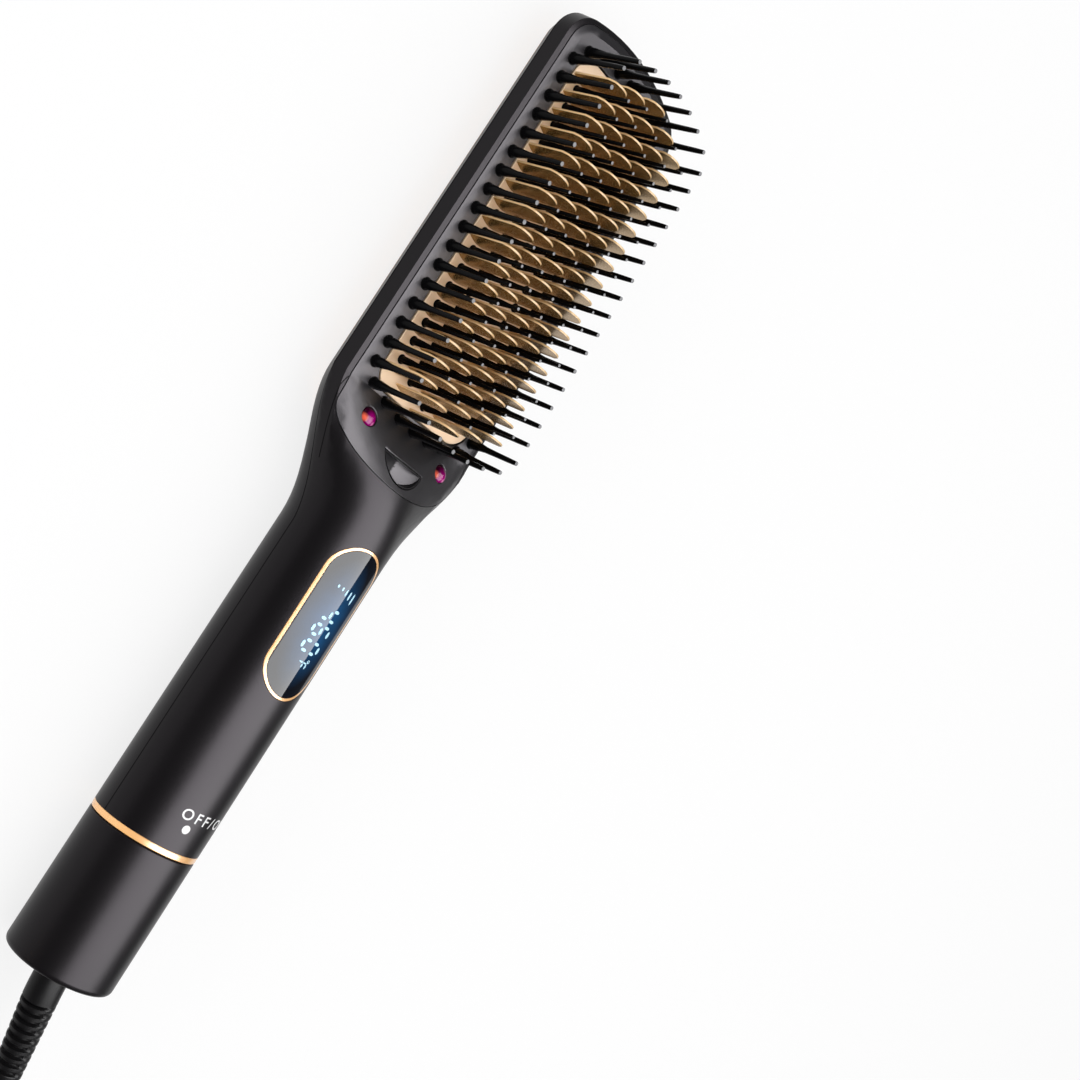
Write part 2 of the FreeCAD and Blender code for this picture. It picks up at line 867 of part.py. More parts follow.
def make_knob(lug_x):
    """A cup with a rounded end and a hole for the boot, and the lug that drives the rotor."""
    start = knob_x - turning_gap
    inner = knob_inner()
    hole = boot_root_radius + turning_gap
    round_x, round_r = tail_x + knob_edge, handle_radius - knob_edge
    diagonal = knob_edge * math.sqrt(0.5)
    cup = turned(
        [
            (start, inner),
            (start, handle_radius),
            (round_x, handle_radius),
            (round_x - diagonal, round_r + diagonal),
            (tail_x, round_r),
            (tail_x, hole),
            (tail_x + knob_end_wall, hole),
            (tail_x + knob_end_wall, inner),
        ]
    )
    low, high = inner - lug_reach, inner + knob_wall / 2
    lug = sector(low, high, lug_x - lug_length, lug_length, -lug_angle / 2, lug_angle)
    save("tail_knob", cup.fuse(lug))


# ---------------------------------------------------------------- cord


def tube_along(points, radius, name):
    """A tube of straight runs joined by tangent arcs, each as large as its two runs allow."""
    points = [Vector(*p) for p in points]
    edges = []
    start = points[0]
    radii = []
    for before, corner, after in zip(points, points[1:], points[2:]):
        inward = (corner - before).normalize()
        outward = (after - corner).normalize()
        half_turn = inward.getAngle(outward) / 2
        trim = 0.45 * min((corner - before).Length, (after - corner).Length)
        bend = trim / math.tan(half_turn)
        radii.append(bend)
        arc_start = corner - inward * trim
        arc_end = corner + outward * trim
        towards = (outward - inward).normalize()
        middle = corner + towards * (bend / math.cos(half_turn) - bend)
        edges.append(Part.LineSegment(start, arc_start).toShape())
        edges.append(Part.Arc(arc_start, middle, arc_end).toShape())
        start = arc_end
    edges.append(Part.LineSegment(start, points[-1]).toShape())
    path = Part.Wire(edges)
    section = Part.Wire(Part.makeCircle(radius, points[0], points[1] - points[0]))
    tube = path.makePipeShell([section], True, True)
    print(name, "arc radii", [round(r, 1) for r in radii], "length", round(path.Length, 1))
    return tube


def across_polygon(radius, centre, aim, sides):
    """A closed polygon square to a direction."""
    turn = FreeCAD.Rotation(Vector(1, 0, 0), aim)
    corners = []
    for i in range(sides + 1):
        angle = 2 * pi * (i + 0.5) / sides
        corners.append(centre + turn.multVec(Vector(0, radius * math.cos(angle), radius * math.sin(angle))))
    return Part.makePolygon(corners)


def make_boot():
    """Strain relief: a flange inside the tube, a curved root, and a slotted cone that aims at the cord."""
    inner_x = tail_x + knob_end_wall + turning_gap + tube_wall
    flange_end = inner_x + boot_flange_thickness
    flange = rod(boot_flange_radius, (flange_end, 0, axis_height), (inner_x, 0, axis_height))
    elbow = Vector(tail_x - boot_straight, 0, axis_height)
    aim = (Vector(*lead_route[0]) - elbow).normalize()
    cone_start = elbow + aim * boot_straight * 2
    run = [(inner_x, 0, axis_height), tuple(elbow), tuple(cone_start)]
    root = tube_along(run, boot_root_radius, "boot_root")
    reach = boot_length - 3 * boot_straight
    boot_end = cone_start + aim * reach
    ends = [(boot_root_radius, cone_start), (boot_tip_radius, boot_end)]
    sleeve = Part.makeLoft([across_polygon(r, p, aim, boot_sides) for r, p in ends], True, True)
    turn = FreeCAD.Rotation(Vector(1, 0, 0), aim)
    for i in range(rib_count):
        distance = rib_start + i * rib_pitch
        low = rib_core * between(boot_root_radius, boot_tip_radius, distance / reach)
        for side in (-1, 1):
            corner_y = low if side > 0 else -low - boot_root_radius
            size = (rib_slot_width, boot_root_radius, 4 * boot_root_radius)
            slot = box(size, (distance, corner_y, -2 * boot_root_radius))
            slot.Placement = FreeCAD.Placement(cone_start, turn)
            sleeve = sleeve.cut(slot)
    save("cord_boot", flange.fuse([root, sleeve]))
    return boot_end


def make_cord(boot_end):
    lead = tube_along([tuple(boot_end), *lead_route], cord_radius, "cord_lead")
    save("power_cord_lead", lead)
    outer = coil_outer_turn + cord_radius
    inner = outer - coil_turns * 2 * cord_radius
    depth = coil_layers * 2 * cord_radius
    middle = Vector(*coil_centre, 0)
    ring = Part.makeCylinder(outer, depth, middle).cut(Part.makeCylinder(inner, depth, middle))
    save("cord_coil", ring)
    tail = tube_along(tail_route, cord_radius, "cord_tail")
    save("power_cord_tail", tail)
    size = (outer - inner + 2 * tie_thickness, tie_width, depth + tie_thickness)
    corner = (coil_centre[0] - outer - tie_thickness, coil_centre[1] - tie_width / 2, 0)
    save("cord_tie", box(size, corner).cut(ring))
    make_plug(Vector(*tail_route[-1]))


def make_plug(entry):
    neck = Part.makeCone(plug_neck_radius, plug_neck_radius * 1.4, plug_neck_length, entry, Vector(1, 0, 0))
    front = entry.x + plug_neck_length
    body = box((plug_length, plug_width, plug_height), (front, entry.y - plug_width / 2, 0))
    body = body.makeFillet(plug_corner, [e for e in body.Edges if e.BoundBox.XLength > plug_length / 2])
    save("plug_body", body.fuse(neck))
    blades = []
    for side in (-1, 1):
        middle_y = entry.y + side * blade_spacing / 2
        corner = (front + plug_length, middle_y - blade_size[1] / 2, entry.z - blade_size[2] / 2)
        blades.append(box(blade_size, corner))
    export("plug_blades", blades)


def main():
    os.makedirs("parts", exist_ok=True)
    form = outer_form()
    cavity = outer_form(wall, ring_x - 1)
    front, back = make_shells(form, cavity)
    save("front_shell", front)
    save("back_shell", back)
    save("bristle_plate", make_bristle_plate(form))
    band = form.common(band_prism()).cut(panel_prism()).cut(lowered(form, -skin))
    save("back_band", band)
    save("back_panel", form.common(panel_prism(-trim_gap)).cut(lowered(form, -skin)))
    for (x, y), side in zip(lamp_places(), ("left", "right")):
        save("jewel_lens_" + side, make_jewel(form, x, y))
    export("outer_bristles", make_outer_bristles(form))
    export("inner_bristles", make_inner_bristles())
    export("heater_fins", make_fins())
    make_heater()
    make_screws()
    make_display(form)
    make_electronics()
    make_outlet(form)
    make_tail()
    make_cord(make_boot())


main()
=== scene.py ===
"""Dresses the heated straightening brush: casing, heated field, bristles, lamps, display, knob and cord.

Lengths are in metres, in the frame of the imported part: X runs towards the tip of the head and Z out of the
bristles. Each operator makes one piece or one group of like pieces, and the panel lists them in order.
"""

import math

import bmesh
import bpy
from mathutils import Matrix, Vector


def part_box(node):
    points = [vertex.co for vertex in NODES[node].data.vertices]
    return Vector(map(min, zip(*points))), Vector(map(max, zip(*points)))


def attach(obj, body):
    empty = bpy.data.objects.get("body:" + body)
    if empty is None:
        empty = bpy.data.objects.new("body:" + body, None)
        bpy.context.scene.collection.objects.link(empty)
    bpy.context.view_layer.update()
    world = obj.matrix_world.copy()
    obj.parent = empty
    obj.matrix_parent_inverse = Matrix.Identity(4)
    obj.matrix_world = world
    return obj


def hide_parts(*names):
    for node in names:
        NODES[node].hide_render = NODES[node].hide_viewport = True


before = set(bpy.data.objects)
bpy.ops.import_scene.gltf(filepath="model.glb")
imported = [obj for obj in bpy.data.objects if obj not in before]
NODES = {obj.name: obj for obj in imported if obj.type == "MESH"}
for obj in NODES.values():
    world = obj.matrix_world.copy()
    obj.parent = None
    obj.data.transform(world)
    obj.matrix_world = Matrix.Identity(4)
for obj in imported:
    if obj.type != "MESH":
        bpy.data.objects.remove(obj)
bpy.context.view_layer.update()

bl_info = {
    "name": "Heated Brush Dressing",
    "version": (1, 0, 0),
    "blender": (4, 5, 0),
    "location": "3D Viewport > Sidebar > Brush",
    "description": "Builds the visible pieces, finishes, floor and lights of a heated straightening brush",
    "category": "Object",
}

MERGE_DISTANCE = 0.000002  # a node's loose triangles are merged within this
FLAT_ANGLE = 0.4  # faces that meet at less than this, in degrees, are made one

# Places that the pieces share, from the solids that they line up with
PLATE_LOW, PLATE_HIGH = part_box("heater_plate")
KNOB_LOW, KNOB_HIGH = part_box("tail_knob")
TRIM_LOW, TRIM_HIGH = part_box("display_trim")
OUTLET_LOW, OUTLET_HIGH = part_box("ion_outlet")
FIELD_X = (PLATE_LOW.x + PLATE_HIGH.x) / 2  # middle of the heated field
FACE_Z = PLATE_HIGH.z  # level of the face that bristles and fins stand on
AXIS_Z = (KNOB_LOW.z + KNOB_HIGH.z) / 2  # axis of the handle and the knob
HANDLE_RADIUS = (KNOB_HIGH.z - KNOB_LOW.z) / 2
DISPLAY_X = (TRIM_LOW.x + TRIM_HIGH.x) / 2  # middle of the display
RING_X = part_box("collar_ring")[1].x  # side of the gold ring towards the handle

# The cord's own route: from the boot to the coil, round the coil's centre, and from the coil to the plug
CORD_EXIT = (-0.19435, -0.01049, 0.01347)
LEAD_ROUTE = (
    (-0.2137, -0.0153, 0.0124),
    (-0.2340, -0.0225, 0.0056),
    (-0.2550, -0.0263, 0.0028),
)
COIL_CENTRE = (-0.2620, 0.0133)
TAIL_ROUTE = (
    (-0.2620, 0.0531, 0.0084),
    (-0.2400, 0.0550, 0.0090),
    (-0.2170, 0.0550, 0.0090),
)


# ------------------------------------------------------------------ sizes and colours


def length_property(label, words, default):
    """A length that a user may change."""
    return bpy.props.FloatProperty(name=label, description=words, default=default, min=0.0, unit="LENGTH")


class BrushSizes(bpy.types.PropertyGroup):
    """Sizes of the pieces that a user may want to change."""

    edge_round: length_property("Edge rounding", "Width of the rounding on moulded edges", 0.0003)
    outer_height: length_property(
        "Outer bristle height", "Height of the bristles round the edge, above the face", 0.01945
    )
    outer_root: length_property(
        "Outer bristle root radius", "Radius of an outer bristle where it leaves the face", 0.0015
    )
    outer_pitch: length_property(
        "Outer bristle pitch", "Distance between neighbouring bristles of a side row", 0.0062
    )
    inner_height: length_property(
        "Inner bristle height", "Height of the bristles among the fins, above the face", 0.0200
    )
    inner_root: length_property(
        "Inner bristle root radius", "Radius of an inner bristle where it leaves the heated plate", 0.0011
    )
    inner_pitch: length_property(
        "Inner bristle pitch", "Distance between neighbours in a column, of bristles and of fins", 0.00595
    )
    bristle_sides: bpy.props.IntProperty(
        name="Bristle sides", description="Number of sides round each bristle", default=10, min=5
    )
    fin_width: length_property("Fin width", "Width of a heated fin across the head", 0.0080)
    fin_height: length_property("Fin height", "Height of a heated fin above the plate", 0.0161)
    fin_thickness: length_property("Fin thickness", "Thickness of a heated fin at its top edge", 0.00055)
    fin_bulge: length_property(
        "Fin root bulge", "How far the tail side of a fin swells at its root", 0.0008
    )
    cord_diameter: length_property("Cord diameter", "Diameter of the mains lead", 0.0056)
    boot_rib_pitch: length_property(
        "Boot rib pitch", "Distance between neighbouring ribs of the strain relief", 0.0026
    )


def colour_property(label, words, default):
    """A colour that a user may change."""
    return bpy.props.FloatVectorProperty(
        name=label, description=words, default=default, size=3, min=0.0, max=1.0, subtype="COLOR"
    )


class BrushColours(bpy.types.PropertyGroup):
    """Colours of the finishes."""

    shell: colour_property("Shell", "Satin black of the casing and knob", (0.0028, 0.0024, 0.0028))
    face: colour_property("Face", "Dark grey of the plate round the heated field", (0.0090, 0.0086, 0.0098))
    bristle: colour_property("Bristle", "Black of the bristles", (0.0022, 0.0022, 0.0024))
    heater: colour_property("Heater", "Champagne gold of the heated plate", (0.80, 0.60, 0.41))
    fin: colour_property("Fin", "Deep gold of the fins' faces", (0.36, 0.222, 0.078))
    # Painted highlight: the bright gold laid along the fins' edges, where light catches them
    fin_edge_highlight: colour_property("Fin edge", "Bright gold along the top of the fins", (0.84, 0.57, 0.29))
    band: colour_property("Band", "Orange gold of the band round the back", (0.72, 0.34, 0.07))
    trim: colour_property("Trim", "Gold of the ring and the display's rim", (0.92, 0.49, 0.18))
    ruby: colour_property("Lamp", "Ruby of the two lamps", (0.30, 0.0, 0.15))
    glow: colour_property("Display glow", "Blue behind the display's window", (0.009, 0.075, 0.20))
    digit: colour_property("Digits", "Pale blue of the lit figures", (0.36, 0.60, 0.72))
    cord: colour_property("Cord", "Black of the lead, boot and plug", (0.0036, 0.0034, 0.0038))
    mark: colour_property("Marks", "White of the printed marks", (0.85, 0.85, 0.85))
    floor: colour_property("Floor", "Pale colour of the floor", (0.92, 0.92, 0.92))


def sizes():
    """The sizes set in this scene."""
    return bpy.context.scene.brush_sizes


def colours():
    """The colours set in this scene."""
    return bpy.context.scene.brush_colours


# ------------------------------------------------------------------ node helpers


def add(tree, kind, **values):
    """A node of this kind; values are its own settings, or its inputs by name with _ for a space."""
    node = tree.nodes.new(kind)
    for name, value in values.items():
        if hasattr(node, name):
            setattr(node, name, value)
        else:
            node.inputs[name.replace("_", " ")].default_value = value
    return node


def join(tree, source, output, target, entry):
    """Links an output to an input, each by its name or its number."""
    tree.links.new(source.outputs[output], target.inputs[entry])


def math_node(tree, operation, first, second=0.0):
    """A Math node; each operand is a number or an output."""
    node = tree.nodes.new("ShaderNodeMath")
    node.operation = operation
    for entry, operand in enumerate((first, second)):
        if isinstance(operand, bpy.types.NodeSocket):
            tree.links.new(operand, node.inputs[entry])
        else:
            node.inputs[entry].default_value = operand
    return node.outputs[0]


def shader_group(name, inputs, outputs):
    """An empty shader group with float inputs and outputs, and its two end nodes."""
    group = bpy.data.node_groups.new(name, "ShaderNodeTree")
    for label, default in inputs:
        entry = group.interface.new_socket(label, in_out="INPUT", socket_type="NodeSocketFloat")
        entry.default_value = default
    for label in outputs:
        group.interface.new_socket(label, in_out="OUTPUT", socket_type="NodeSocketFloat")
    return group, group.nodes.new("NodeGroupInput"), group.nodes.new("NodeGroupOutput")


def sized_noise(group, place, size, **values):
    """A noise read at a place, with grains of a size; both are outputs."""
    made = add(group, "ShaderNodeTexNoise", **values)
    group.links.new(place, made.inputs["Vector"])
    group.links.new(math_node(group, "DIVIDE", 1.0, size), made.inputs["Scale"])
    return made


def put_out(group, start, end, relief, patch, swing_by):
    """Puts out an effect: its relief, its patches, and a roughness that one of its noises swings."""
    centred = math_node(group, "SUBTRACT", swing_by.outputs[0], 0.5)
    swing = math_node(group, "MULTIPLY", centred, start.outputs["Spread"])
    rough = math_node(group, "ADD", start.outputs["Roughness"], swing)
    join(group, relief, 0, end, "Height")
    group.links.new(rough, end.inputs["Roughness"])
    join(group, patch, 0, end, "Patch")
    return group


def moulded_skin_group():
    """Fine moulded grain, with slow patches where handling has polished it."""
    inputs = [("Grain Size", 0.0003), ("Patch Size", 0.02), ("Roughness", 0.4), ("Spread", 0.08)]
    group, start, end = shader_group("moulded_skin", inputs, ["Height", "Roughness", "Patch"])
    place = group.nodes.new("ShaderNodeTexCoord").outputs["Object"]
    grain = sized_noise(group, place, start.outputs["Grain Size"], Detail=2.0, Roughness=0.6)
    patch = sized_noise(group, place, start.outputs["Patch Size"], Detail=3.0, Roughness=0.5)
    return put_out(group, start, end, grain, patch, patch)


def drawn_metal_group():
    """Fine lines left by polishing, drawn out along one axis, for plated and coated metal."""
    inputs = [("Line Size", 0.0002), ("Stretch", 20.0), ("Roughness", 0.3), ("Spread", 0.1)]
    group, start, end = shader_group("drawn_metal", inputs, ["Height", "Roughness", "Patch"])
    place = group.nodes.new("ShaderNodeTexCoord")
    split = group.nodes.new("ShaderNodeSeparateXYZ")
    join(group, place, "Object", split, "Vector")
    drawn = group.nodes.new("ShaderNodeCombineXYZ")
    along = math_node(group, "DIVIDE", split.outputs["X"], start.outputs["Stretch"])
    group.links.new(along, drawn.inputs["X"])
    join(group, split, "Y", drawn, "Y")
    join(group, split, "Z", drawn, "Z")
    lines = sized_noise(group, drawn.outputs[0], start.outputs["Line Size"], Detail=2.0, Roughness=0.5)
    patch = add(group, "ShaderNodeTexNoise", Scale=60.0, Detail=2.0)
    join(group, place, "Object", patch, "Vector")
    return put_out(group, start, end, lines, patch, lines)


def effect(name):
    """The shared group of this name, built the first time it is asked for."""
    makers = {"moulded_skin": moulded_skin_group, "drawn_metal": drawn_metal_group}
    return bpy.data.node_groups.get(name) or makers[name]()


def new_material(name):
    """A new material, its node tree and its shader."""
    material = bpy.data.materials.new(name)
    material.use_nodes = True
    return material, material.node_tree, material.node_tree.nodes["Principled BSDF"]


def finish_material(name, group, colour, values, shift, depth, **shader):
    """A material whose colour, roughness and relief vary with a shared effect.

    Values are the effect's inputs. The colour drifts from the one given to shift times that, depth is the
    relief's, and shader holds what is constant on the shader itself, by socket name with _ for a space.
    """
    material = bpy.data.materials.get(name)
    if material:
        return material
    material, tree, principled = new_material(name)
    skin = tree.nodes.new("ShaderNodeGroup")
    skin.node_tree = effect(group)
    for label, value in values.items():
        skin.inputs[label].default_value = value
    blend = add(tree, "ShaderNodeMix", data_type="RGBA")
    blend.inputs[6].default_value = (*colour, 1.0)
    blend.inputs[7].default_value = (*(min(1.0, c * shift) for c in colour), 1.0)
    join(tree, skin, "Patch", blend, 0)
    join(tree, blend, 2, principled, "Base Color")
    join(tree, skin, "Roughness", principled, "Roughness")
    bump = add(tree, "ShaderNodeBump", Distance=depth)
    join(tree, skin, "Height", bump, "Height")
    join(tree, bump, "Normal", principled, "Normal")
    for label, value in shader.items():
        principled.inputs[label.replace("_", " ")].default_value = value
    return material


def base_source(material):
    """The output that feeds a material's base colour."""
    return material.node_tree.nodes["Principled BSDF"].inputs["Base Color"].links[0].from_socket


def lay_over(material, mask, colour):
    """Lays a colour over a material's base colour, where the mask is 1."""
    tree = material.node_tree
    tint = add(tree, "ShaderNodeMix", data_type="RGBA")
    tint.inputs[7].default_value = (*colour, 1.0)
    tree.links.new(mask, tint.inputs[0])
    tree.links.new(base_source(material), tint.inputs[6])
    join(tree, tint, 2, tree.nodes["Principled BSDF"], "Base Color")


def light_up(material, strength):
    """Lets a material give off its own base colour."""
    principled = material.node_tree.nodes["Principled BSDF"]
    material.node_tree.links.new(base_source(material), principled.inputs["Emission Color"])
    principled.inputs["Emission Strength"].default_value = strength


def satin_shell():
    """Satin black of the casing, the back panel and the knob."""
    values = {"Grain Size": 0.00035, "Patch Size": 0.03, "Roughness": 0.37, "Spread": 0.08}
    gloss = {"Specular_IOR_Level": 0.18, "Specular_Tint": (1.0, 0.93, 1.0, 1.0)}
    return finish_material(
        "satin_shell", "moulded_skin", colours().shell, values, shift=1.35, depth=0.00001, **gloss
    )


def satin_face():
    """Dark grey of the face plate and the ion outlet."""
    values = {"Grain Size": 0.00030, "Patch Size": 0.02, "Roughness": 0.36, "Spread": 0.08}
    gloss = {"Specular_IOR_Level": 0.34, "Specular_Tint": (1.0, 0.95, 1.0, 1.0)}
    return finish_material(
        "satin_face", "moulded_skin", colours().face, values, shift=1.3, depth=0.000008, **gloss
    )


def champagne_heater():
    """Champagne gold of the heated plate, more lacquer than metal."""
    values = {"Line Size": 0.00025, "Stretch": 6.0, "Roughness": 0.38, "Spread": 0.12}
    gloss = {"Metallic": 0.06, "Specular_IOR_Level": 0.22}
    return finish_material(
        "champagne_heater", "drawn_metal", colours().heater, values, shift=1.12, depth=0.000004, **gloss
    )


def fin_gold():
    """Deep gold on the faces of the fins, with a painted highlight of bright gold along their edges, which
    are less metallic.
    """
    material = bpy.data.materials.get("fin_gold")
    if material:
        return material
    values = {"Line Size": 0.00025, "Stretch": 6.0, "Roughness": 0.26, "Spread": 0.10}
    gloss = {"Specular_IOR_Level": 0.22}
    material = finish_material(
        "fin_gold", "drawn_metal", colours().fin, values, shift=1.15, depth=0.000004, **gloss
    )
    tree = material.node_tree
    place = tree.nodes.new("ShaderNodeTexCoord")
    split = tree.nodes.new("ShaderNodeSeparateXYZ")
    join(tree, place, "Normal", split, 0)
    broadside = math_node(tree, "ABSOLUTE", split.outputs["X"])
    # Painted highlight: faces that do not look along X, the fins' edges, take the bright gold
    painted_highlight_mask = add(tree, "ShaderNodeMapRange", From_Min=0.75, From_Max=0.45)
    tree.links.new(broadside, painted_highlight_mask.inputs["Value"])
    metal = add(tree, "ShaderNodeMapRange", From_Min=0.45, From_Max=0.75, To_Max=0.72)
    tree.links.new(broadside, metal.inputs["Value"])
    join(tree, metal, 0, tree.nodes["Principled BSDF"], "Metallic")
    lay_over(material, painted_highlight_mask.outputs[0], colours().fin_edge_highlight)
    return material


def orange_band():
    """Orange gold of the band round the back."""
    values = {"Line Size": 0.00030, "Stretch": 12.0, "Roughness": 0.38, "Spread": 0.12}
    return finish_material(
        "orange_band", "drawn_metal", colours().band, values, shift=1.15, depth=0.000005, Metallic=0.40
    )


def polished_trim():
    """Gold of the ring and the display's rim, under a clear coat."""
    values = {"Line Size": 0.00020, "Stretch": 15.0, "Roughness": 0.30, "Spread": 0.08}
    gloss = {"Metallic": 0.05, "Specular_IOR_Level": 0.75, "Coat_Weight": 0.6, "Coat_Roughness": 0.15}
    return finish_material(
        "polished_trim", "drawn_metal", colours().trim, values, shift=1.08, depth=0.000002, **gloss
    )


def cord_rubber():
    """Black rubber of the lead, the boot and the plug."""
    values = {"Grain Size": 0.00040, "Patch Size": 0.015, "Roughness": 0.42, "Spread": 0.12}
    gloss = {"Specular_IOR_Level": 0.15}
    return finish_material(
        "cord_rubber", "moulded_skin", colours().cord, values, shift=1.5, depth=0.000015, **gloss
    )


def deep_black():
    """Dull black: the emitter pin's own colour, and painted shade for the holes round the bristles and the
    fine lines between mouldings.
    """
    values = {"Grain Size": 0.00040, "Patch Size": 0.01, "Roughness": 0.75, "Spread": 0.10}
    colour = (0.0012, 0.0012, 0.0013)
    gloss = {"Specular_IOR_Level": 0.04}
    return finish_material("deep_black", "moulded_skin", colour, values, shift=1.5, depth=0.00001, **gloss)


def plain_plastic(name, colour, rough):
    """A moulded plastic of one colour."""
    values = {"Grain Size": 0.0004, "Patch Size": 0.012, "Roughness": rough, "Spread": 0.12}
    gloss = {"Specular_IOR_Level": 0.22}
    return finish_material(name, "moulded_skin", colour, values, shift=1.25, depth=0.000012, **gloss)


def plain_metal(name, colour, rough):
    """A drawn metal of one colour."""
    values = {"Line Size": 0.0003, "Stretch": 10.0, "Roughness": rough, "Spread": 0.15}
    return finish_material(name, "drawn_metal", colour, values, shift=1.1, depth=0.000005, Metallic=0.55)


def bristle_nylon(name, tip_height):
    """Glossy black nylon whose cut tip, above this height, carries a painted highlight in pale grey where it
    faces up.
    """
    values = {"Grain Size": 0.0005, "Patch Size": 0.008, "Roughness": 0.16, "Spread": 0.06}
    gloss = {"Specular_IOR_Level": 0.05}
    material = finish_material(
        name, "moulded_skin", colours().bristle, values, shift=1.6, depth=0.000006, **gloss
    )
    tree = material.node_tree
    place = tree.nodes.new("ShaderNodeTexCoord")
    split = tree.nodes.new("ShaderNodeSeparateXYZ")
    join(tree, place, "Object", split, "Vector")
    above = math_node(tree, "GREATER_THAN", split.outputs["Z"], tip_height)
    facing = tree.nodes.new("ShaderNodeSeparateXYZ")
    join(tree, place, "Normal", facing, 0)
    flat = add(tree, "ShaderNodeMapRange", From_Min=0.80, From_Max=0.95)
    join(tree, facing, "Z", flat, "Value")
    # Painted highlight: the upward-facing part of each tip is laid over in pale grey
    lay_over(material, math_node(tree, "MULTIPLY", above, flat.outputs[0]), (0.30, 0.30, 0.31))
    return material


# ------------------------------------------------------------------ mesh helpers


def new_object(name, mesh):
    """An object with this mesh, curve or lettering, in the scene."""
    made = bpy.data.objects.new(name, mesh)
    bpy.context.scene.collection.objects.link(made)
    return made


def mesh_from(name, corners, faces):
    """A mesh with these corners and faces."""
    mesh = bpy.data.meshes.new(name)
    mesh.from_pydata([tuple(c) for c in corners], [], faces)
    mesh.update()
    return mesh


def face_outwards(mesh):
    """Turns every face of a closed mesh outwards."""
    work = bmesh.new()
    work.from_mesh(mesh)
    bmesh.ops.recalc_face_normals(work, faces=work.faces)
    work.to_mesh(mesh)
    work.free()
    return mesh


def ring_faces(rings, count):
    """The faces that join neighbouring rings of corners, each of this count."""
    faces = []
    for ring in range(rings - 1):
        for k in range(count):
            a, b = ring * count + k, ring * count + (k + 1) % count
            faces.append((a, b, b + count, a + count))
    return faces


def baked(made, name):
    """A plain mesh object from an object and its modifiers, which it takes the place of."""
    graph = bpy.context.evaluated_depsgraph_get()
    mesh = bpy.data.meshes.new_from_object(made.evaluated_get(graph))
    mesh.name = name
    bpy.data.objects.remove(made)
    return new_object(name, mesh)


def smooth(made, angle):
    """Smooth shading, with edges sharper than the angle kept crisp."""
    mesh = made.data
    mesh.polygons.foreach_set("use_smooth", [True] * len(mesh.polygons))
    mesh.set_sharp_from_angle(angle=math.radians(angle))
    return made


def paint(made, material):
    """Gives an object this material alone."""
    made.data.materials.clear()
    made.data.materials.append(material)


def fit(made, slot, *nodes, body="brush"):
    """Puts a finished piece on its body, in place of its CAD nodes; the slot is not used."""
    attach(made, body)
    if nodes:
        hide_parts(*nodes)
    return made


def dressed_copy(node, name, material, slot, edge=None, body="brush", crease=22.0):
    """A node's own shape with its edges rounded, smooth shading and a finish."""
    edge = sizes().edge_round if edge is None else edge
    mesh = NODES[node].data.copy()
    work = bmesh.new()
    work.from_mesh(mesh)
    bmesh.ops.remove_doubles(work, verts=work.verts, dist=MERGE_DISTANCE)
    bmesh.ops.dissolve_limit(
        work,
        angle_limit=math.radians(FLAT_ANGLE),
        verts=work.verts,
        edges=work.edges,
        use_dissolve_boundaries=False,
    )
    work.to_mesh(mesh)
    work.free()
    made = new_object(name + "_work", mesh)
    smooth(made, crease)
    if edge > 0:
        rounding = made.modifiers.new("rounding", "BEVEL")
        rounding.width = edge
        rounding.segments = 2
        rounding.limit_method = "ANGLE"
        rounding.angle_limit = math.radians(crease)
        rounding.miter_outer = "MITER_ARC"
    level = made.modifiers.new("level", "WEIGHTED_NORMAL")
    level.keep_sharp = True
    paint(made, material)
    return fit(baked(made, name), slot, node, body=body)


def round_shading(made, low_x, high_x, fade_x):
    """Shades the round handle from its own axis, and fades that out along the neck.

    Only the outer wall is changed, where faces look away from the axis.
    """
    wall_radius = HANDLE_RADIUS * 0.985
    handle_match, neck_match = 0.97, 0.5  # 1 looks straight away from the axis
    mesh = made.data
    normals = [corner.vector.copy() for corner in mesh.corner_normals]
    for face in mesh.polygons:
        for corner in face.loop_indices:
            place = mesh.vertices[mesh.loops[corner].vertex_index].co
            arm = Vector((0.0, place.y, place.z - AXIS_Z))
            outward = arm.normalized()
            alike = face.normal.dot(outward)
            on_handle = low_x < place.x < high_x and arm.length > wall_radius
            if on_handle and alike > handle_match:
                normals[corner] = outward
            elif high_x <= place.x < fade_x and alike > neck_match:
                share = (place.x - high_x) / (fade_x - high_x)
                share = share * share * (3 - 2 * share)
                normals[corner] = normals[corner].lerp(outward, 1 - share).normalized()
    mesh.normals_split_custom_set(normals)


# ------------------------------------------------------------------ geometry node trees


def geometry_tree(name, inputs):
    """An empty geometry tree with a Geometry input and output and these named inputs."""
    tree = bpy.data.node_groups.new(name, "GeometryNodeTree")
    tree.interface.new_socket("Geometry", in_out="INPUT", socket_type="NodeSocketGeometry")
    for label, kind, default in inputs:
        entry = tree.interface.new_socket(label, in_out="INPUT", socket_type=kind)
        if default is not None:
            entry.default_value = default
    tree.interface.new_socket("Geometry", in_out="OUTPUT", socket_type="NodeSocketGeometry")
    return tree, tree.nodes.new("NodeGroupInput"), tree.nodes.new("NodeGroupOutput")


def finish_tree(tree, start, end, shape):
    """Sets a shape on every point that comes in, makes it real, gives it its material and puts it out."""
    spread = tree.nodes.new("GeometryNodeInstanceOnPoints")
    join(tree, start, "Geometry", spread, "Points")
    join(tree, shape, 0, spread, "Instance")
    real = tree.nodes.new("GeometryNodeRealizeInstances")
    join(tree, spread, 0, real, 0)
    coat = tree.nodes.new("GeometryNodeSetMaterial")
    join(tree, real, 0, coat, "Geometry")
    join(tree, start, "Material", coat, "Material")
    join(tree, coat, 0, end, 0)


def curve_points(mapping, points):
    """Sets a Float Curve's points, from the first to the last."""
    curve = mapping.mapping.curves[0]
    curve.points[0].location = points[0]
    curve.points[1].location = points[-1]
    for x, y in points[1:-1]:
        curve.points.new(x, y)
    for point in curve.points:
        point.handle_type = "AUTO_CLAMPED"
    mapping.mapping.update()


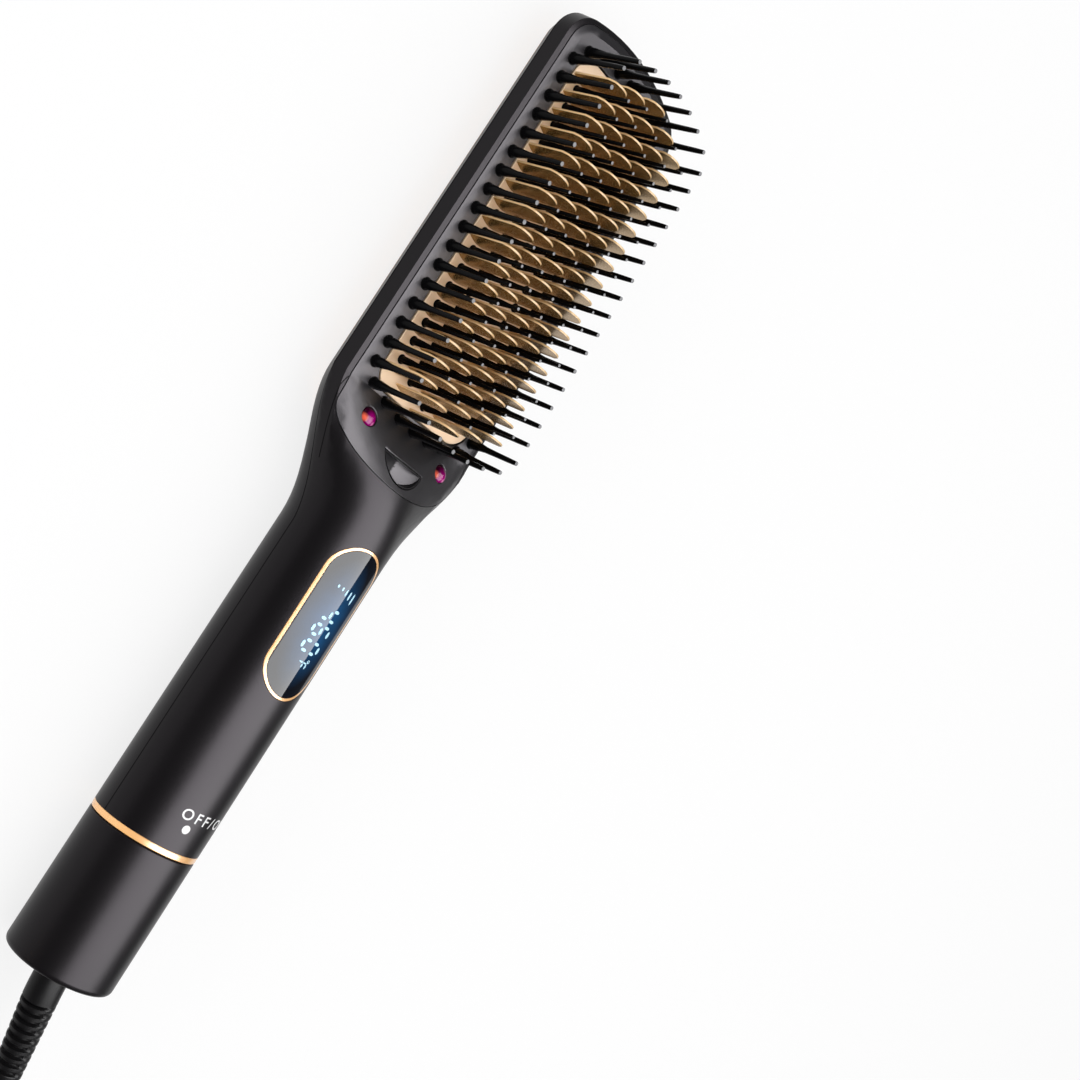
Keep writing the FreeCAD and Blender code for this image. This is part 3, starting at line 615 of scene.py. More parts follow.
def bristle_tree():
    """One bristle on each point: a flared root, a slim taper and a cut tip."""
    tree, start, end = geometry_tree(
        "bristle_field",
        [
            ("Height", "NodeSocketFloat", 0.02),
            ("Root Radius", "NodeSocketFloat", 0.0015),
            ("Sides", "NodeSocketInt", 10),
            ("Rings", "NodeSocketInt", 11),
            ("Material", "NodeSocketMaterial", None),
        ],
    )
    top = tree.nodes.new("ShaderNodeCombineXYZ")
    join(tree, start, "Height", top, 2)
    stem = tree.nodes.new("GeometryNodeCurvePrimitiveLine")
    join(tree, top, 0, stem, "End")
    rings = tree.nodes.new("GeometryNodeResampleCurve")
    join(tree, stem, 0, rings, "Curve")
    join(tree, start, "Rings", rings, "Count")
    share = tree.nodes.new("GeometryNodeSplineParameter")
    # The rings crowd at the root and the tip, where the outline bends
    climb = tree.nodes.new("ShaderNodeFloatCurve")
    rise = [(0, 0), (0.1, 0.025), (0.2, 0.06), (0.3, 0.11), (0.5, 0.34), (0.8, 0.96), (0.9, 0.99), (1, 1)]
    curve_points(climb, rise)
    join(tree, share, "Factor", climb, "Value")
    height = math_node(tree, "MULTIPLY", climb.outputs[0], start.outputs["Height"])
    place = tree.nodes.new("ShaderNodeCombineXYZ")
    tree.links.new(height, place.inputs[2])
    move = tree.nodes.new("GeometryNodeSetPosition")
    join(tree, rings, 0, move, "Geometry")
    join(tree, place, 0, move, "Position")
    # The radius falls fast over the flared root, slowly up the stem, and turns in at the tip
    taper = tree.nodes.new("ShaderNodeFloatCurve")
    root = [(0, 1), (0.1, 0.99), (0.2, 0.84), (0.3, 0.66), (0.4, 0.58)]
    stem_and_tip = [(0.6, 0.54), (0.8, 0.51), (0.9, 0.49), (1, 0.42)]
    curve_points(taper, root + stem_and_tip)
    join(tree, share, "Factor", taper, "Value")
    radius = math_node(tree, "MULTIPLY", taper.outputs[0], start.outputs["Root Radius"])
    ring = add(tree, "GeometryNodeCurvePrimitiveCircle", Radius=1.0)
    join(tree, start, "Sides", ring, "Resolution")
    skin = add(tree, "GeometryNodeCurveToMesh", Fill_Caps=True)
    join(tree, move, 0, skin, "Curve")
    tree.links.new(radius, skin.inputs["Scale"])
    join(tree, ring, 0, skin, "Profile Curve")
    finish_tree(tree, start, end, skin)
    return tree


def fin_tree():
    """One heated fin on each point: an arched blade whose root swells towards the tail."""
    tree, start, end = geometry_tree(
        "fin_field",
        [
            ("Width", "NodeSocketFloat", 0.008),
            ("Height", "NodeSocketFloat", 0.0161),
            ("Arch", "NodeSocketFloat", 0.0026),
            ("Thickness", "NodeSocketFloat", 0.0007),
            ("Bulge", "NodeSocketFloat", 0.0008),
            ("Material", "NodeSocketMaterial", None),
        ],
    )
    blank = add(tree, "GeometryNodeMeshCube", Vertices_X=2, Vertices_Y=9, Vertices_Z=6)
    blank.inputs["Size"].default_value = (1.0, 1.0, 1.0)
    here = tree.nodes.new("GeometryNodeInputPosition")
    split = tree.nodes.new("ShaderNodeSeparateXYZ")
    join(tree, here, 0, split, 0)
    depth, across, up = split.outputs[0], split.outputs[1], split.outputs[2]

    def times(first, second):
        return math_node(tree, "MULTIPLY", first, second)

    def less(first, second):
        return math_node(tree, "SUBTRACT", first, second)

    # The top edge sags towards the ends of the fin, and drops at its very corners
    share = times(across, 2.0)
    square = times(share, share)
    corner = math_node(tree, "POWER", square, 5.0)
    sag = math_node(tree, "ADD", times(square, 0.7), times(corner, 0.45))
    tall = less(start.outputs["Height"], times(sag, start.outputs["Arch"]))
    level = math_node(tree, "ADD", up, 0.5)
    z = times(tall, level)
    y = times(across, start.outputs["Width"])
    # The tail side swells at the root, most in the middle, and fades upwards
    low = math_node(tree, "POWER", less(1.0, level), 2.2)
    lens = times(less(1.0, square), low)
    tail_side = math_node(tree, "LESS_THAN", depth, 0.0)
    swell = times(times(lens, start.outputs["Bulge"]), tail_side)
    x = less(times(depth, start.outputs["Thickness"]), swell)
    place = tree.nodes.new("ShaderNodeCombineXYZ")
    for entry, value in enumerate((x, y, z)):
        tree.links.new(value, place.inputs[entry])
    shape = tree.nodes.new("GeometryNodeSetPosition")
    join(tree, blank, 0, shape, "Geometry")
    join(tree, place, 0, shape, "Position")
    finish_tree(tree, start, end, shape)
    return tree


def shade_well_tree():
    """A shallow dark disc of painted shade on each point, seen as a dark ring in the hole round the bristle
    that stands on it.
    """
    tree, start, end = geometry_tree(
        "bristle_wells",
        [
            ("Radius", "NodeSocketFloat", 0.0015),
            ("Depth", "NodeSocketFloat", 0.00005),
            ("Sides", "NodeSocketInt", 16),
            ("Material", "NodeSocketMaterial", None),
        ],
    )
    disc = tree.nodes.new("GeometryNodeMeshCylinder")
    join(tree, start, "Radius", disc, "Radius")
    join(tree, start, "Depth", disc, "Depth")
    join(tree, start, "Sides", disc, "Vertices")
    finish_tree(tree, start, end, disc)
    return tree


def grown(name, tree, places, **values):
    """A plain mesh grown by a tree on these places; values are the tree's inputs by name."""
    made = new_object(name + "_places", mesh_from(name + "_places", places, []))
    modifier = made.modifiers.new(name, "NODES")
    modifier.node_group = tree
    for entry in tree.interface.items_tree:
        label = entry.name.replace(" ", "_")
        if entry.item_type == "SOCKET" and entry.in_out == "INPUT" and label in values:
            modifier[entry.identifier] = values[label]
    return baked(made, name)


def tree_for(name, maker):
    """The geometry tree of this name, built the first time it is asked for."""
    return bpy.data.node_groups.get(name) or maker()


# ------------------------------------------------------------------ places


def outer_places(height):
    """Places of the outer bristles: two straight rows and a bow of seven at each end."""
    pitch = sizes().outer_pitch
    rows, row_y = 17, 0.0232
    bow_count, bow_pitch, bow_radius, bow_gap = 7, 0.00655, 0.0498, 0.00897
    half = (rows - 1) // 2
    places = []
    for row in range(rows):
        for side in (-1, 1):
            places.append((FIELD_X + (row - half) * pitch, side * row_y, height))
    for end in (-1, 1):
        for k in range(bow_count):
            y = (k - (bow_count - 1) // 2) * bow_pitch
            sag = bow_radius - math.sqrt(bow_radius**2 - y * y)
            places.append((FIELD_X + end * (half * pitch + bow_gap - sag), y, height))
    return places


def column_places(extra, height):
    """Places along the columns of the heated field; extra 1 gives the fins, one more in each column."""
    # Each column's distance from the middle, and its number of bristles
    columns = ((0.0, 18), (0.00875, 17), (0.016, 16))
    places = []
    for offset, count in columns:
        number = count + extra
        sides = (-1, 1) if offset else (1,)
        for side in sides:
            for i in range(number):
                x = FIELD_X + (i - (number - 1) / 2) * sizes().inner_pitch
                places.append((x, side * offset, height))
    return places


# ------------------------------------------------------------------ operators


class BRUSH_OT_stage(bpy.types.Operator):
    """Makes the camera, the pale floor and the soft lights"""

    bl_idname = "brush.stage"
    bl_label = "Camera, floor and lights"

    camera_place = (-0.0328, 0.2851, 0.3283)
    camera_right = Vector((0.52817, -0.51109, 0.67810))
    camera_up = Vector((0.84139, 0.42261, -0.33683))
    focal_length = 51.25
    floor_reach = 3
    # Share of plain white in the floor, as the camera and the reflections see it
    floor_white = 0.80

    def execute(self, context):
        self.camera()
        self.floor()
        self.lights()
        context.scene.view_settings.view_transform = "Standard"
        return {"FINISHED"}

    def camera(self):
        """The camera, from its place and from which ways are right and up in its view."""
        lens = bpy.data.cameras.new("view_camera")
        lens.lens = self.focal_length
        lens.sensor_width = 36.0
        lens.clip_start = 0.01
        camera = bpy.data.objects.new("view_camera", lens)
        back = self.camera_right.cross(self.camera_up)
        turn = Matrix((self.camera_right, self.camera_up, back)).transposed()
        camera.matrix_world = Matrix.Translation(self.camera_place) @ turn.to_4x4()
        bpy.context.scene.collection.objects.link(camera)
        bpy.context.scene.camera = camera

    def lights(self):
        """One softbox that is only mirrored, two wide fills that only light, and a dim world."""
        key = self.lamp(
            "key_softbox", place=(0.02, -0.20, 0.62), aim=(0.02, -0.20, 0.0), size=(0.84, 0.92), power=28.5
        )
        key.visible_diffuse = False
        brush = (0.0, 0.0, 0.0)
        above = self.lamp("ceiling_fill", place=(0.0, -0.2, 1.5), aim=brush, size=(5.0, 5.0), power=76.0)
        beside = self.lamp("side_fill", place=(0.0, 1.3, 0.35), aim=brush, size=(2.4, 0.7), power=12.0)
        for fill in (above, beside):
            fill.visible_glossy = False
        world = bpy.data.worlds.new("studio")
        bpy.context.scene.world = world
        world.use_nodes = True
        background = world.node_tree.nodes["Background"]
        background.inputs["Color"].default_value = (0.97, 0.98, 1.0, 1.0)
        background.inputs["Strength"].default_value = 0.10

    def floor(self):
        """The flat square floor that the brush lies on."""
        far = self.floor_reach
        corners = [(-far, -far, 0), (far, -far, 0), (far, far, 0), (-far, far, 0)]
        made = new_object("pale_floor", mesh_from("pale_floor", corners, [(0, 1, 2, 3)]))
        paint(made, self.floor_finish())

    def floor_finish(self):
        """Pale matt floor that is part white to the eye and in reflections, and keeps a soft shadow."""
        values = {"Grain Size": 0.004, "Patch Size": 0.4, "Roughness": 0.85, "Spread": 0.05}
        material = finish_material(
            "pale_floor", "moulded_skin", colours().floor, values, shift=1.02, depth=0.00001
        )
        tree = material.node_tree
        path = tree.nodes.new("ShaderNodeLightPath")
        seen = math_node(tree, "MAXIMUM", path.outputs["Is Camera Ray"], path.outputs["Is Glossy Ray"])
        seen = math_node(tree, "MAXIMUM", seen, path.outputs["Is Transmission Ray"])
        share = math_node(tree, "MULTIPLY", seen, self.floor_white)
        white = add(tree, "ShaderNodeEmission", Strength=1.0)
        blend = tree.nodes.new("ShaderNodeMixShader")
        tree.links.new(share, blend.inputs[0])
        join(tree, tree.nodes["Principled BSDF"], 0, blend, 1)
        join(tree, white, 0, blend, 2)
        join(tree, blend, 0, tree.nodes["Material Output"], "Surface")
        return material

    def lamp(self, name, place, aim, size, power):
        """A rectangular softbox aimed at a point."""
        light = bpy.data.lights.new(name, "AREA")
        light.shape = "RECTANGLE"
        light.size = size[0]
        light.size_y = size[1]
        light.energy = power
        made = bpy.data.objects.new(name, light)
        made.location = place
        made.rotation_mode = "QUATERNION"
        made.rotation_quaternion = (Vector(aim) - Vector(place)).to_track_quat("-Z", "Y")
        bpy.context.scene.collection.objects.link(made)
        return made


class BRUSH_OT_cord(bpy.types.Operator):
    """Makes the lead from the boot through its stored coil to the plug"""

    bl_idname = "brush.cord"
    bl_label = "Cord"

    coil_radius = 0.0398
    coil_turns = 7.5
    layer_turns = 3
    points_per_turn = 16
    straight_start = 0.008

    def route(self):
        """Control points: lead, coil inwards on the floor, coil outwards on top, and the tail."""
        pitch = sizes().cord_diameter
        outer, inner = self.coil_radius, self.coil_radius - self.layer_turns * pitch
        points = [Vector(CORD_EXIT)]
        aim = (Vector(LEAD_ROUTE[0]) - points[0]).normalized()
        points.append(points[0] + aim * self.straight_start)
        points += [Vector(p) for p in LEAD_ROUTE]
        for i in range(1, int(self.coil_turns * self.points_per_turn)):
            turns = i / self.points_per_turn
            climb = turns - self.layer_turns
            if climb < 0:
                radius, height = outer - pitch * turns, pitch / 2
            elif climb < 1:
                radius, height = inner, pitch / 2 + pitch * climb
            else:
                radius, height = min(outer, inner + pitch * (climb - 1)), pitch * 1.5
            angle = -math.pi / 2 - 2 * math.pi * turns
            x = COIL_CENTRE[0] + radius * math.cos(angle)
            y = COIL_CENTRE[1] + radius * math.sin(angle)
            points.append(Vector((x, y, height)))
        points += [Vector(p) for p in TAIL_ROUTE]
        return points

    def execute(self, context):
        curve = bpy.data.curves.new("power_cord", "CURVE")
        curve.dimensions = "3D"
        spline = curve.splines.new("NURBS")
        points = self.route()
        spline.points.add(len(points) - 1)
        for point, place in zip(spline.points, points):
            point.co = (*place, 1.0)
        spline.order_u = 3
        spline.use_endpoint_u = True
        spline.resolution_u = 4
        curve.bevel_depth = sizes().cord_diameter / 2
        curve.bevel_resolution = 4
        curve.use_fill_caps = True
        made = new_object("power_cord", curve)
        curve.materials.append(cord_rubber())
        fit(made, "cord_black", "power_cord_lead", "cord_coil", "power_cord_tail")
        return {"FINISHED"}


class BRUSH_OT_plug(bpy.types.Operator):
    """Makes the plug, its blades and the tie round the coil"""

    bl_idname = "brush.plug"
    bl_label = "Plug and tie"

    def execute(self, context):
        dressed_copy("plug_body", "moulded_plug", cord_rubber(), "cord_black", edge=0.0006)
        brass = plain_metal("blade_brass", (0.80, 0.58, 0.28), rough=0.25)
        dressed_copy("plug_blades", "flat_blades", brass, "contact_brass", edge=0.0002)
        black = plain_plastic("tie_plastic", (0.02, 0.02, 0.02), rough=0.5)
        dressed_copy("cord_tie", "coil_tie", black, "tie_black", edge=0.0002)
        return {"FINISHED"}


class BRUSH_OT_boot(bpy.types.Operator):
    """Makes the ribbed strain relief where the cord leaves the knob"""

    bl_idname = "brush.boot"
    bl_label = "Strain relief"

    # The boot starts inside the knob, and its bend reaches this far to each side of the elbow
    start = Vector((KNOB_LOW.x + 0.0037, 0.0, AXIS_Z))
    elbow = Vector((KNOB_LOW.x - 0.0045, 0.0, AXIS_Z))
    elbow_reach = 0.006
    # A plain collar comes first, and then the taper
    collar_length = 0.0135
    root_radius = 0.00485
    tip_radius = 0.0035
    # The ribbed stretch ends in a short plain one, past this share of it
    ribs_end = 0.97
    # Share of a rib's pitch that its crest fills, and how steeply the groove beside it opens
    rib_share = 0.45
    groove_steepness = 5.0
    # Each groove is shallow all round, and deep on two sides that lie square to this angle, in degrees
    groove_depth = 0.00022
    slot_depth = 0.00095
    slot_angle = 35.0
    # How far round a slot reaches, as a cosine, and how steeply its ends rise
    slot_reach = 0.45
    slot_steepness = 2.0

    def execute(self, context):
        sides, rows = 32, 260
        aim = (Vector(CORD_EXIT) - self.elbow).normalized()
        length = (self.elbow - self.start).length + (Vector(CORD_EXIT) - self.elbow).length
        corners = []
        for i in range(rows + 1):
            along = length * i / rows
            centre, heading = self.spine(aim, along)
            share = max(0.0, (along - self.collar_length) / (length - self.collar_length))
            radius = self.root_radius + (self.tip_radius - self.root_radius) * share
            groove = self.groove(along) if share < self.ribs_end else 0.0
            across = Vector((0, 0, 1)).cross(heading).normalized()
            rise = heading.cross(across)
            for k in range(sides):
                angle = 2 * math.pi * k / sides
                arm = across * math.sin(angle) + rise * math.cos(angle)
                corners.append(centre + arm * (radius - self.cut(angle) * groove))
        faces = ring_faces(rows + 1, sides)
        faces.append(tuple(range(sides)))
        faces.append(tuple(range(rows * sides, (rows + 1) * sides)))
        mesh = face_outwards(mesh_from("ribbed_boot", corners, faces))
        made = smooth(new_object("ribbed_boot", mesh), angle=40)
        paint(made, cord_rubber())
        fit(made, "cord_black", "cord_boot")
        return {"FINISHED"}

    def groove(self, along):
        """How far open the grooves are at a distance along the boot, from 0 to 1."""
        if along <= self.collar_length:
            return 0.0
        beat = (along - self.collar_length) / sizes().boot_rib_pitch
        level = abs(2 * (beat - math.floor(beat)) - 1)
        return max(0.0, min(1.0, (level - self.rib_share) * self.groove_steepness))

    def cut(self, angle):
        """Depth of an open groove round the boot: shallow, with a deep slot on two sides."""
        side = math.cos(2 * (angle - math.radians(self.slot_angle)))
        opening = max(0.0, min(1.0, (self.slot_reach - side) * self.slot_steepness))
        return self.groove_depth + self.slot_depth * opening

    def spine(self, aim, along):
        """Centre and heading at a distance along the boot, round its gentle elbow."""
        straight = (self.elbow - self.start).length
        bend = self.elbow_reach
        first = Vector((-1, 0, 0))
        if along < straight - bend:
            return self.start + first * along, first
        if along > straight + bend:
            return self.elbow + aim * (along - straight), aim
        share = (along - straight + bend) / (2 * bend)
        a, b, c = self.elbow - first * bend, self.elbow, self.elbow + aim * bend
        centre = a * (1 - share) ** 2 + b * 2 * share * (1 - share) + c * share**2
        heading = (first * (1 - share) + aim * share).normalized()
        return centre, heading


class BRUSH_OT_casing(bpy.types.Operator):
    """Dresses the two halves of the casing and draws fine lines of painted shade round them"""

    bl_idname = "brush.casing"
    bl_label = "Casing"

    # The round stretch of the handle, and the end of the neck
    handle_start = -0.1060
    handle_end = -0.0150
    neck_end = 0.0180
    # Height of the line of painted shade under the lip, and where it starts
    lip_height = 0.0168
    lip_start = 0.002
    # The seam lies above this height, and outside this distance from the middle or past this place
    seam_height = 0.0100
    seam_side = 0.0140
    seam_tip = 0.1200
    line_half = 0.00013
    line_lift = 0.00002

    def execute(self, context):
        for node, name in (("front_shell", "front_casing"), ("back_shell", "back_casing")):
            made = dressed_copy(node, name, satin_shell(), "shell_satin_black", crease=32.0)
            round_shading(made, self.handle_start, self.handle_end, self.neck_end)
        self.shade_lines()
        return {"FINISHED"}

    def shade_lines(self):
        """The fine lines of painted shade round the casing: in the seam where its two halves meet, and under
        its lip.
        """
        work = bmesh.new()
        work.from_mesh(NODES["front_shell"].data)
        bmesh.ops.remove_doubles(work, verts=work.verts[:], dist=MERGE_DISTANCE)
        self.line("seam_line", [(edge, wall) for edge in work.edges for wall in self.wall_above(edge)])
        level = Vector((0.0, 0.0, self.lip_height))
        everything = work.verts[:] + work.edges[:] + work.faces[:]
        cut = bmesh.ops.bisect_plane(work, geom=everything, plane_co=level, plane_no=(0, 0, 1))
        edges = [item for item in cut["geom_cut"] if isinstance(item, bmesh.types.BMEdge)]
        self.line("lip_line", [(edge, wall) for edge in edges for wall in self.wall_of_lip(edge)])
        work.free()

    def wall_above(self, edge):
        """The outer wall's normal, where this edge is the front half's lower outer corner."""
        if len(edge.link_faces) != 2:
            return []
        low, wall = sorted((face.normal for face in edge.link_faces), key=lambda normal: normal.z)
        middle = (edge.verts[0].co + edge.verts[1].co) / 2
        outward = wall.y * middle.y + wall.x * max(0.0, middle.x - FIELD_X) > 0.0001
        outside = abs(middle.y) > self.seam_side or middle.x > self.seam_tip
        under = low.z < -0.6
        steep = abs(wall.z) < 0.5
        if under and steep and outward and outside and middle.z > self.seam_height:
            return [wall.copy()]
        return []

    def wall_of_lip(self, edge):
        """The outer wall's normal, where this cut edge runs round the outside of the head."""
        if not edge.link_faces:
            return []
        middle = (edge.verts[0].co + edge.verts[1].co) / 2
        wall = edge.link_faces[0].normal
        if middle.x > self.lip_start and wall.dot(middle - Vector((FIELD_X, 0.0, self.lip_height))) > 0:
            return [wall.copy()]
        return []

    def line(self, name, edges):
        """A dark ribbon of painted shade, a quarter of a millimetre wide, that lies just off the wall along
        the edges.
        """
        corners, faces = [], []
        for edge, out in edges:
            ends = [vert.co for vert in edge.verts]
            up = out.cross((ends[1] - ends[0]).normalized()).normalized() * self.line_half
            first = len(corners)
            corners += [end + out * self.line_lift + rise for rise in (up, -up) for end in ends]
            faces.append((first, first + 1, first + 3, first + 2))
        made = new_object(name, mesh_from(name, corners, faces))
        paint(made, deep_black())
        fit(made, "shell_satin_black")


class BRUSH_OT_back(bpy.types.Operator):
    """Dresses the band round the back and the panel inside it"""

    bl_idname = "brush.back"
    bl_label = "Back band and panel"

    def execute(self, context):
        dressed_copy("back_band", "orange_band_trim", orange_band(), "band_orange_gold", edge=0.0002)
        dressed_copy("back_panel", "back_panel_skin", satin_shell(), "shell_satin_black", edge=0.0002)
        return {"FINISHED"}


class BRUSH_OT_face(bpy.types.Operator):
    """Dresses the grey face plate round the heated field"""

    bl_idname = "brush.face"
    bl_label = "Face plate"

    def execute(self, context):
        grey = satin_face()
        dressed_copy("bristle_plate", "face_plate", grey, "plate_dark_grey", edge=0.0002, crease=34.0)
        return {"FINISHED"}


class BRUSH_OT_heater(bpy.types.Operator):
    """Makes the heated plate and its fins"""

    bl_idname = "brush.heater"
    bl_label = "Heated plate and fins"

    def execute(self, context):
        dressed_copy("heater_plate", "heated_plate", champagne_heater(), "heater_gold", edge=0.0002)
        fins = grown(
            "heated_fins",
            tree_for("fin_field", fin_tree),
            column_places(1, FACE_Z),
            Width=sizes().fin_width,
            Height=sizes().fin_height,
            Thickness=sizes().fin_thickness,
            Bulge=sizes().fin_bulge,
            Material=fin_gold(),
        )
        smooth(fins, angle=30)
        fit(fins, "heater_gold", "heater_fins")
        return {"FINISHED"}


class BRUSH_OT_bristles(bpy.types.Operator):
    """Makes the outer and inner bristles and the rings of painted shade at their holes"""

    bl_idname = "brush.bristles"
    bl_label = "Bristles"

    tip_length = 0.0003
    well_depth = 0.00006
    outer_well = 0.00185
    inner_well = 0.0014

    def execute(self, context):
        size = sizes()
        outer, inner = outer_places(FACE_Z), column_places(0, FACE_Z)
        self.grow(
            "outer_bristle_field", "outer_bristles", outer, size.outer_height, size.outer_root, rings=11
        )
        self.grow(
            "inner_bristle_field", "inner_bristles", inner, size.inner_height, size.inner_root, rings=9
        )
        level = FACE_Z + self.well_depth / 2
        self.shade_wells("outer_bristle_wells", outer_places(level), self.outer_well)
        self.shade_wells("inner_bristle_wells", column_places(0, level), self.inner_well)
        return {"FINISHED"}

    def grow(self, name, node, places, height, root, rings):
        """A field of bristles on these places, in place of a node."""
        made = grown(
            name,
            tree_for("bristle_field", bristle_tree),
            places,
            Height=height,
            Root_Radius=root,
            Sides=sizes().bristle_sides,
            Rings=rings,
            Material=bristle_nylon(name + "_nylon", FACE_Z + height - self.tip_length),
        )
        smooth(made, angle=50)
        fit(made, "bristle_black", node)

    def shade_wells(self, name, places, radius):
        """The rings of painted shade of a field, each lying on the face round its bristle, where its hole is.
        """
        made = grown(
            name,
            tree_for("bristle_wells", shade_well_tree),
            places,
            Radius=radius,
            Depth=self.well_depth,
            Material=deep_black(),
        )
        fit(made, "bristle_black")


class BRUSH_OT_lamps(bpy.types.Operator):
    """Makes the two ruby lamps on the ramp"""

    bl_idname = "brush.lamps"
    bl_label = "Ruby lamps"

    # The colour is full up to the first share of the lamp's width, and past the second it is the rim's
    # painted shade
    heart_reach = 0.18
    rim_reach = 0.52
    rim_shade_colour = (0.022, 0.0, 0.008)
    # Each painted highlight: its centre as a share of the lamp's width, where it ends and where it is full,
    # its colour
    painted_highlights = (
        ((0.44, 0.30), 0.12, 0.02, (0.60, 0.18, 0.38)),
        ((0.46, 0.93), 0.24, 0.08, (0.70, 0.11, 0.06)),
    )

    def execute(self, context):
        for side in ("left", "right"):
            dressed_copy("jewel_lens_" + side, "ruby_lamp_" + side, self.ruby(), "lens_ruby", edge=0.0)
        return {"FINISHED"}

    def ruby(self):
        """Deep magenta glass: darkened towards its rim as painted shade, faceted inside, with two painted
        highlights.
        """
        material = bpy.data.materials.get("ruby_lens")
        if material:
            return material
        material, tree, principled = new_material("ruby_lens")
        place = tree.nodes.new("ShaderNodeTexCoord")
        facets = add(tree, "ShaderNodeTexVoronoi", Scale=420.0)
        join(tree, place, "Object", facets, "Vector")
        depth = math_node(tree, "MULTIPLY", facets.outputs["Distance"], 0.10)
        reach = math_node(tree, "ADD", self.distance(tree, place, (0.5, 0.5)), depth)
        ramp = tree.nodes.new("ShaderNodeValToRGB")
        heart, rim = ramp.color_ramp.elements
        heart.color = (*colours().ruby, 1.0)
        heart.position = self.heart_reach
        rim.color = (*self.rim_shade_colour, 1.0)
        rim.position = self.rim_reach
        tree.links.new(reach, ramp.inputs[0])
        join(tree, ramp, 0, principled, "Base Color")
        for centre, end, full, colour in self.painted_highlights:
            highlight_mask = add(tree, "ShaderNodeMapRange", From_Min=end, From_Max=full)
            tree.links.new(self.distance(tree, place, centre), highlight_mask.inputs["Value"])
            lay_over(material, highlight_mask.outputs[0], colour)
        light_up(material, 0.30)
        bump = add(tree, "ShaderNodeBump", Distance=0.00006, Strength=0.5)
        join(tree, facets, "Distance", bump, "Height")
        join(tree, bump, "Normal", principled, "Normal")
        principled.inputs["Specular IOR Level"].default_value = 0.18
        principled.inputs["Roughness"].default_value = 0.12
        return material

    def distance(self, tree, place, centre):
        """Distance in the plan from a point of the lamp, as a share of its width."""
        shift = add(tree, "ShaderNodeMapping")
        shift.inputs["Location"].default_value = (-centre[0], -centre[1], 0.0)
        shift.inputs["Scale"].default_value = (1.0, 1.0, 0.0)
        join(tree, place, "Generated", shift, "Vector")
        length = add(tree, "ShaderNodeVectorMath", operation="LENGTH")
        join(tree, shift, "Vector", length, 0)
        return length.outputs["Value"]


class BRUSH_OT_outlet(bpy.types.Operator):
    """Makes the ion outlet: a half-moon cup in the ramp whose floor is a trough"""

    bl_idname = "brush.outlet"
    bl_label = "Ion outlet"

    # The half-moon in plan: its straight edge, the top of its bow and half its width
    edge_x = OUTLET_HIGH.x
    bow_x = OUTLET_LOW.x
    half_width = OUTLET_HIGH.y
    # How far inside that the cup starts, and its hollow
    gap = 0.0001
    rim = 0.0003
    # The ramp's height at the straight edge, its slope along and its fall across
    ramp_height = 0.02348
    ramp_slope = 0.478
    ramp_crown = 6.2
    # The cup's floor: its lowest level and thickness, and how it climbs to the ramp at both ends
    trough_height = 0.0205
    trough_wall = 0.0008
    trough_climb = 0.98
    trough_power = 1.4
    # The pin in the cup, with its point above and its foot in the floor
    pin_x = 0.0110
    pin_radius = 0.00035
    pin_foot = 0.0168
    pin_tip = 0.0211
    pin_point = 0.0012

    def execute(self, context):
        rings = (
            (self.gap, lambda x, y: self.trough(x, y) - self.trough_wall),
            (self.gap, self.ramp),
            (self.rim, self.ramp),
            (self.rim, self.trough),
        )
        corners = []
        for inset, height in rings:
            corners += [(x, y, height(x, y)) for x, y in self.outline(inset)]
        count = len(self.outline(0.0))
        last = (len(rings) - 1) * count
        faces = ring_faces(len(rings), count) + self.lid(0, count) + self.lid(last, count)
        mesh = face_outwards(mesh_from("outlet_scoop", corners, faces))
        made = smooth(new_object("outlet_scoop", mesh), angle=30)
        paint(made, satin_face())
        fit(made, "outlet_black", "ion_outlet")
        self.pin()
        return {"FINISHED"}

    def outline(self, inset):
        """Points of the half-moon: along its straight edge, then back round its bow."""
        depth = self.edge_x - self.bow_x
        round_by = (self.half_width**2 + depth**2) / (2 * depth)
        middle = self.bow_x + round_by
        edge = self.edge_x - inset
        reach = math.sqrt((round_by - inset) ** 2 - (middle - edge) ** 2)
        steps = 32
        rows = [-reach * math.cos(math.pi * k / steps) for k in range(steps + 1)]
        bow = [(middle - math.sqrt((round_by - inset) ** 2 - y * y), y) for y in rows[-2:0:-1]]
        return [(edge, y) for y in rows] + bow

    def ramp(self, x, y):
        """Height of the ramp, which climbs towards the tail and is crowned across."""
        return self.ramp_height + self.ramp_slope * (self.edge_x - x) - self.ramp_crown * y * y

    def trough(self, x, y):
        """Height of the cup's floor: low along the middle, and up to the ramp at both ends."""
        rise = self.trough_climb * abs(y / self.half_width) ** self.trough_power
        return self.trough_height + (self.ramp(x, y) - self.trough_height) * rise

    def lid(self, first, count):
        """Faces that close an outline, in strips from its straight edge to its bow."""
        faces = []
        for k in range(count // 2):
            far = (first + count - k - 1, first + (count - k) % count)
            faces.append(tuple(dict.fromkeys([first + k, first + k + 1, *far])))
        return faces

    def pin(self):
        """The fine point that gives the ions, standing just clear of the trough."""
        sides = 12
        corners = [(self.pin_x, 0.0, self.pin_tip)]
        for z in (self.pin_tip - self.pin_point, self.pin_foot):
            for k in range(sides):
                turn = 2 * math.pi * k / sides
                x = self.pin_x + self.pin_radius * math.cos(turn)
                corners.append((x, self.pin_radius * math.sin(turn), z))
        faces = [tuple(range(2 * sides, sides, -1))]
        for k in range(sides):
            a, b = 1 + k, 1 + (k + 1) % sides
            faces.append((0, a, b))
            faces.append((a, a + sides, b + sides, b))
        made = smooth(new_object("emitter_pin", mesh_from("emitter_pin", corners, faces)), angle=40)
        paint(made, deep_black())
        fit(made, "outlet_black", "ion_needle")


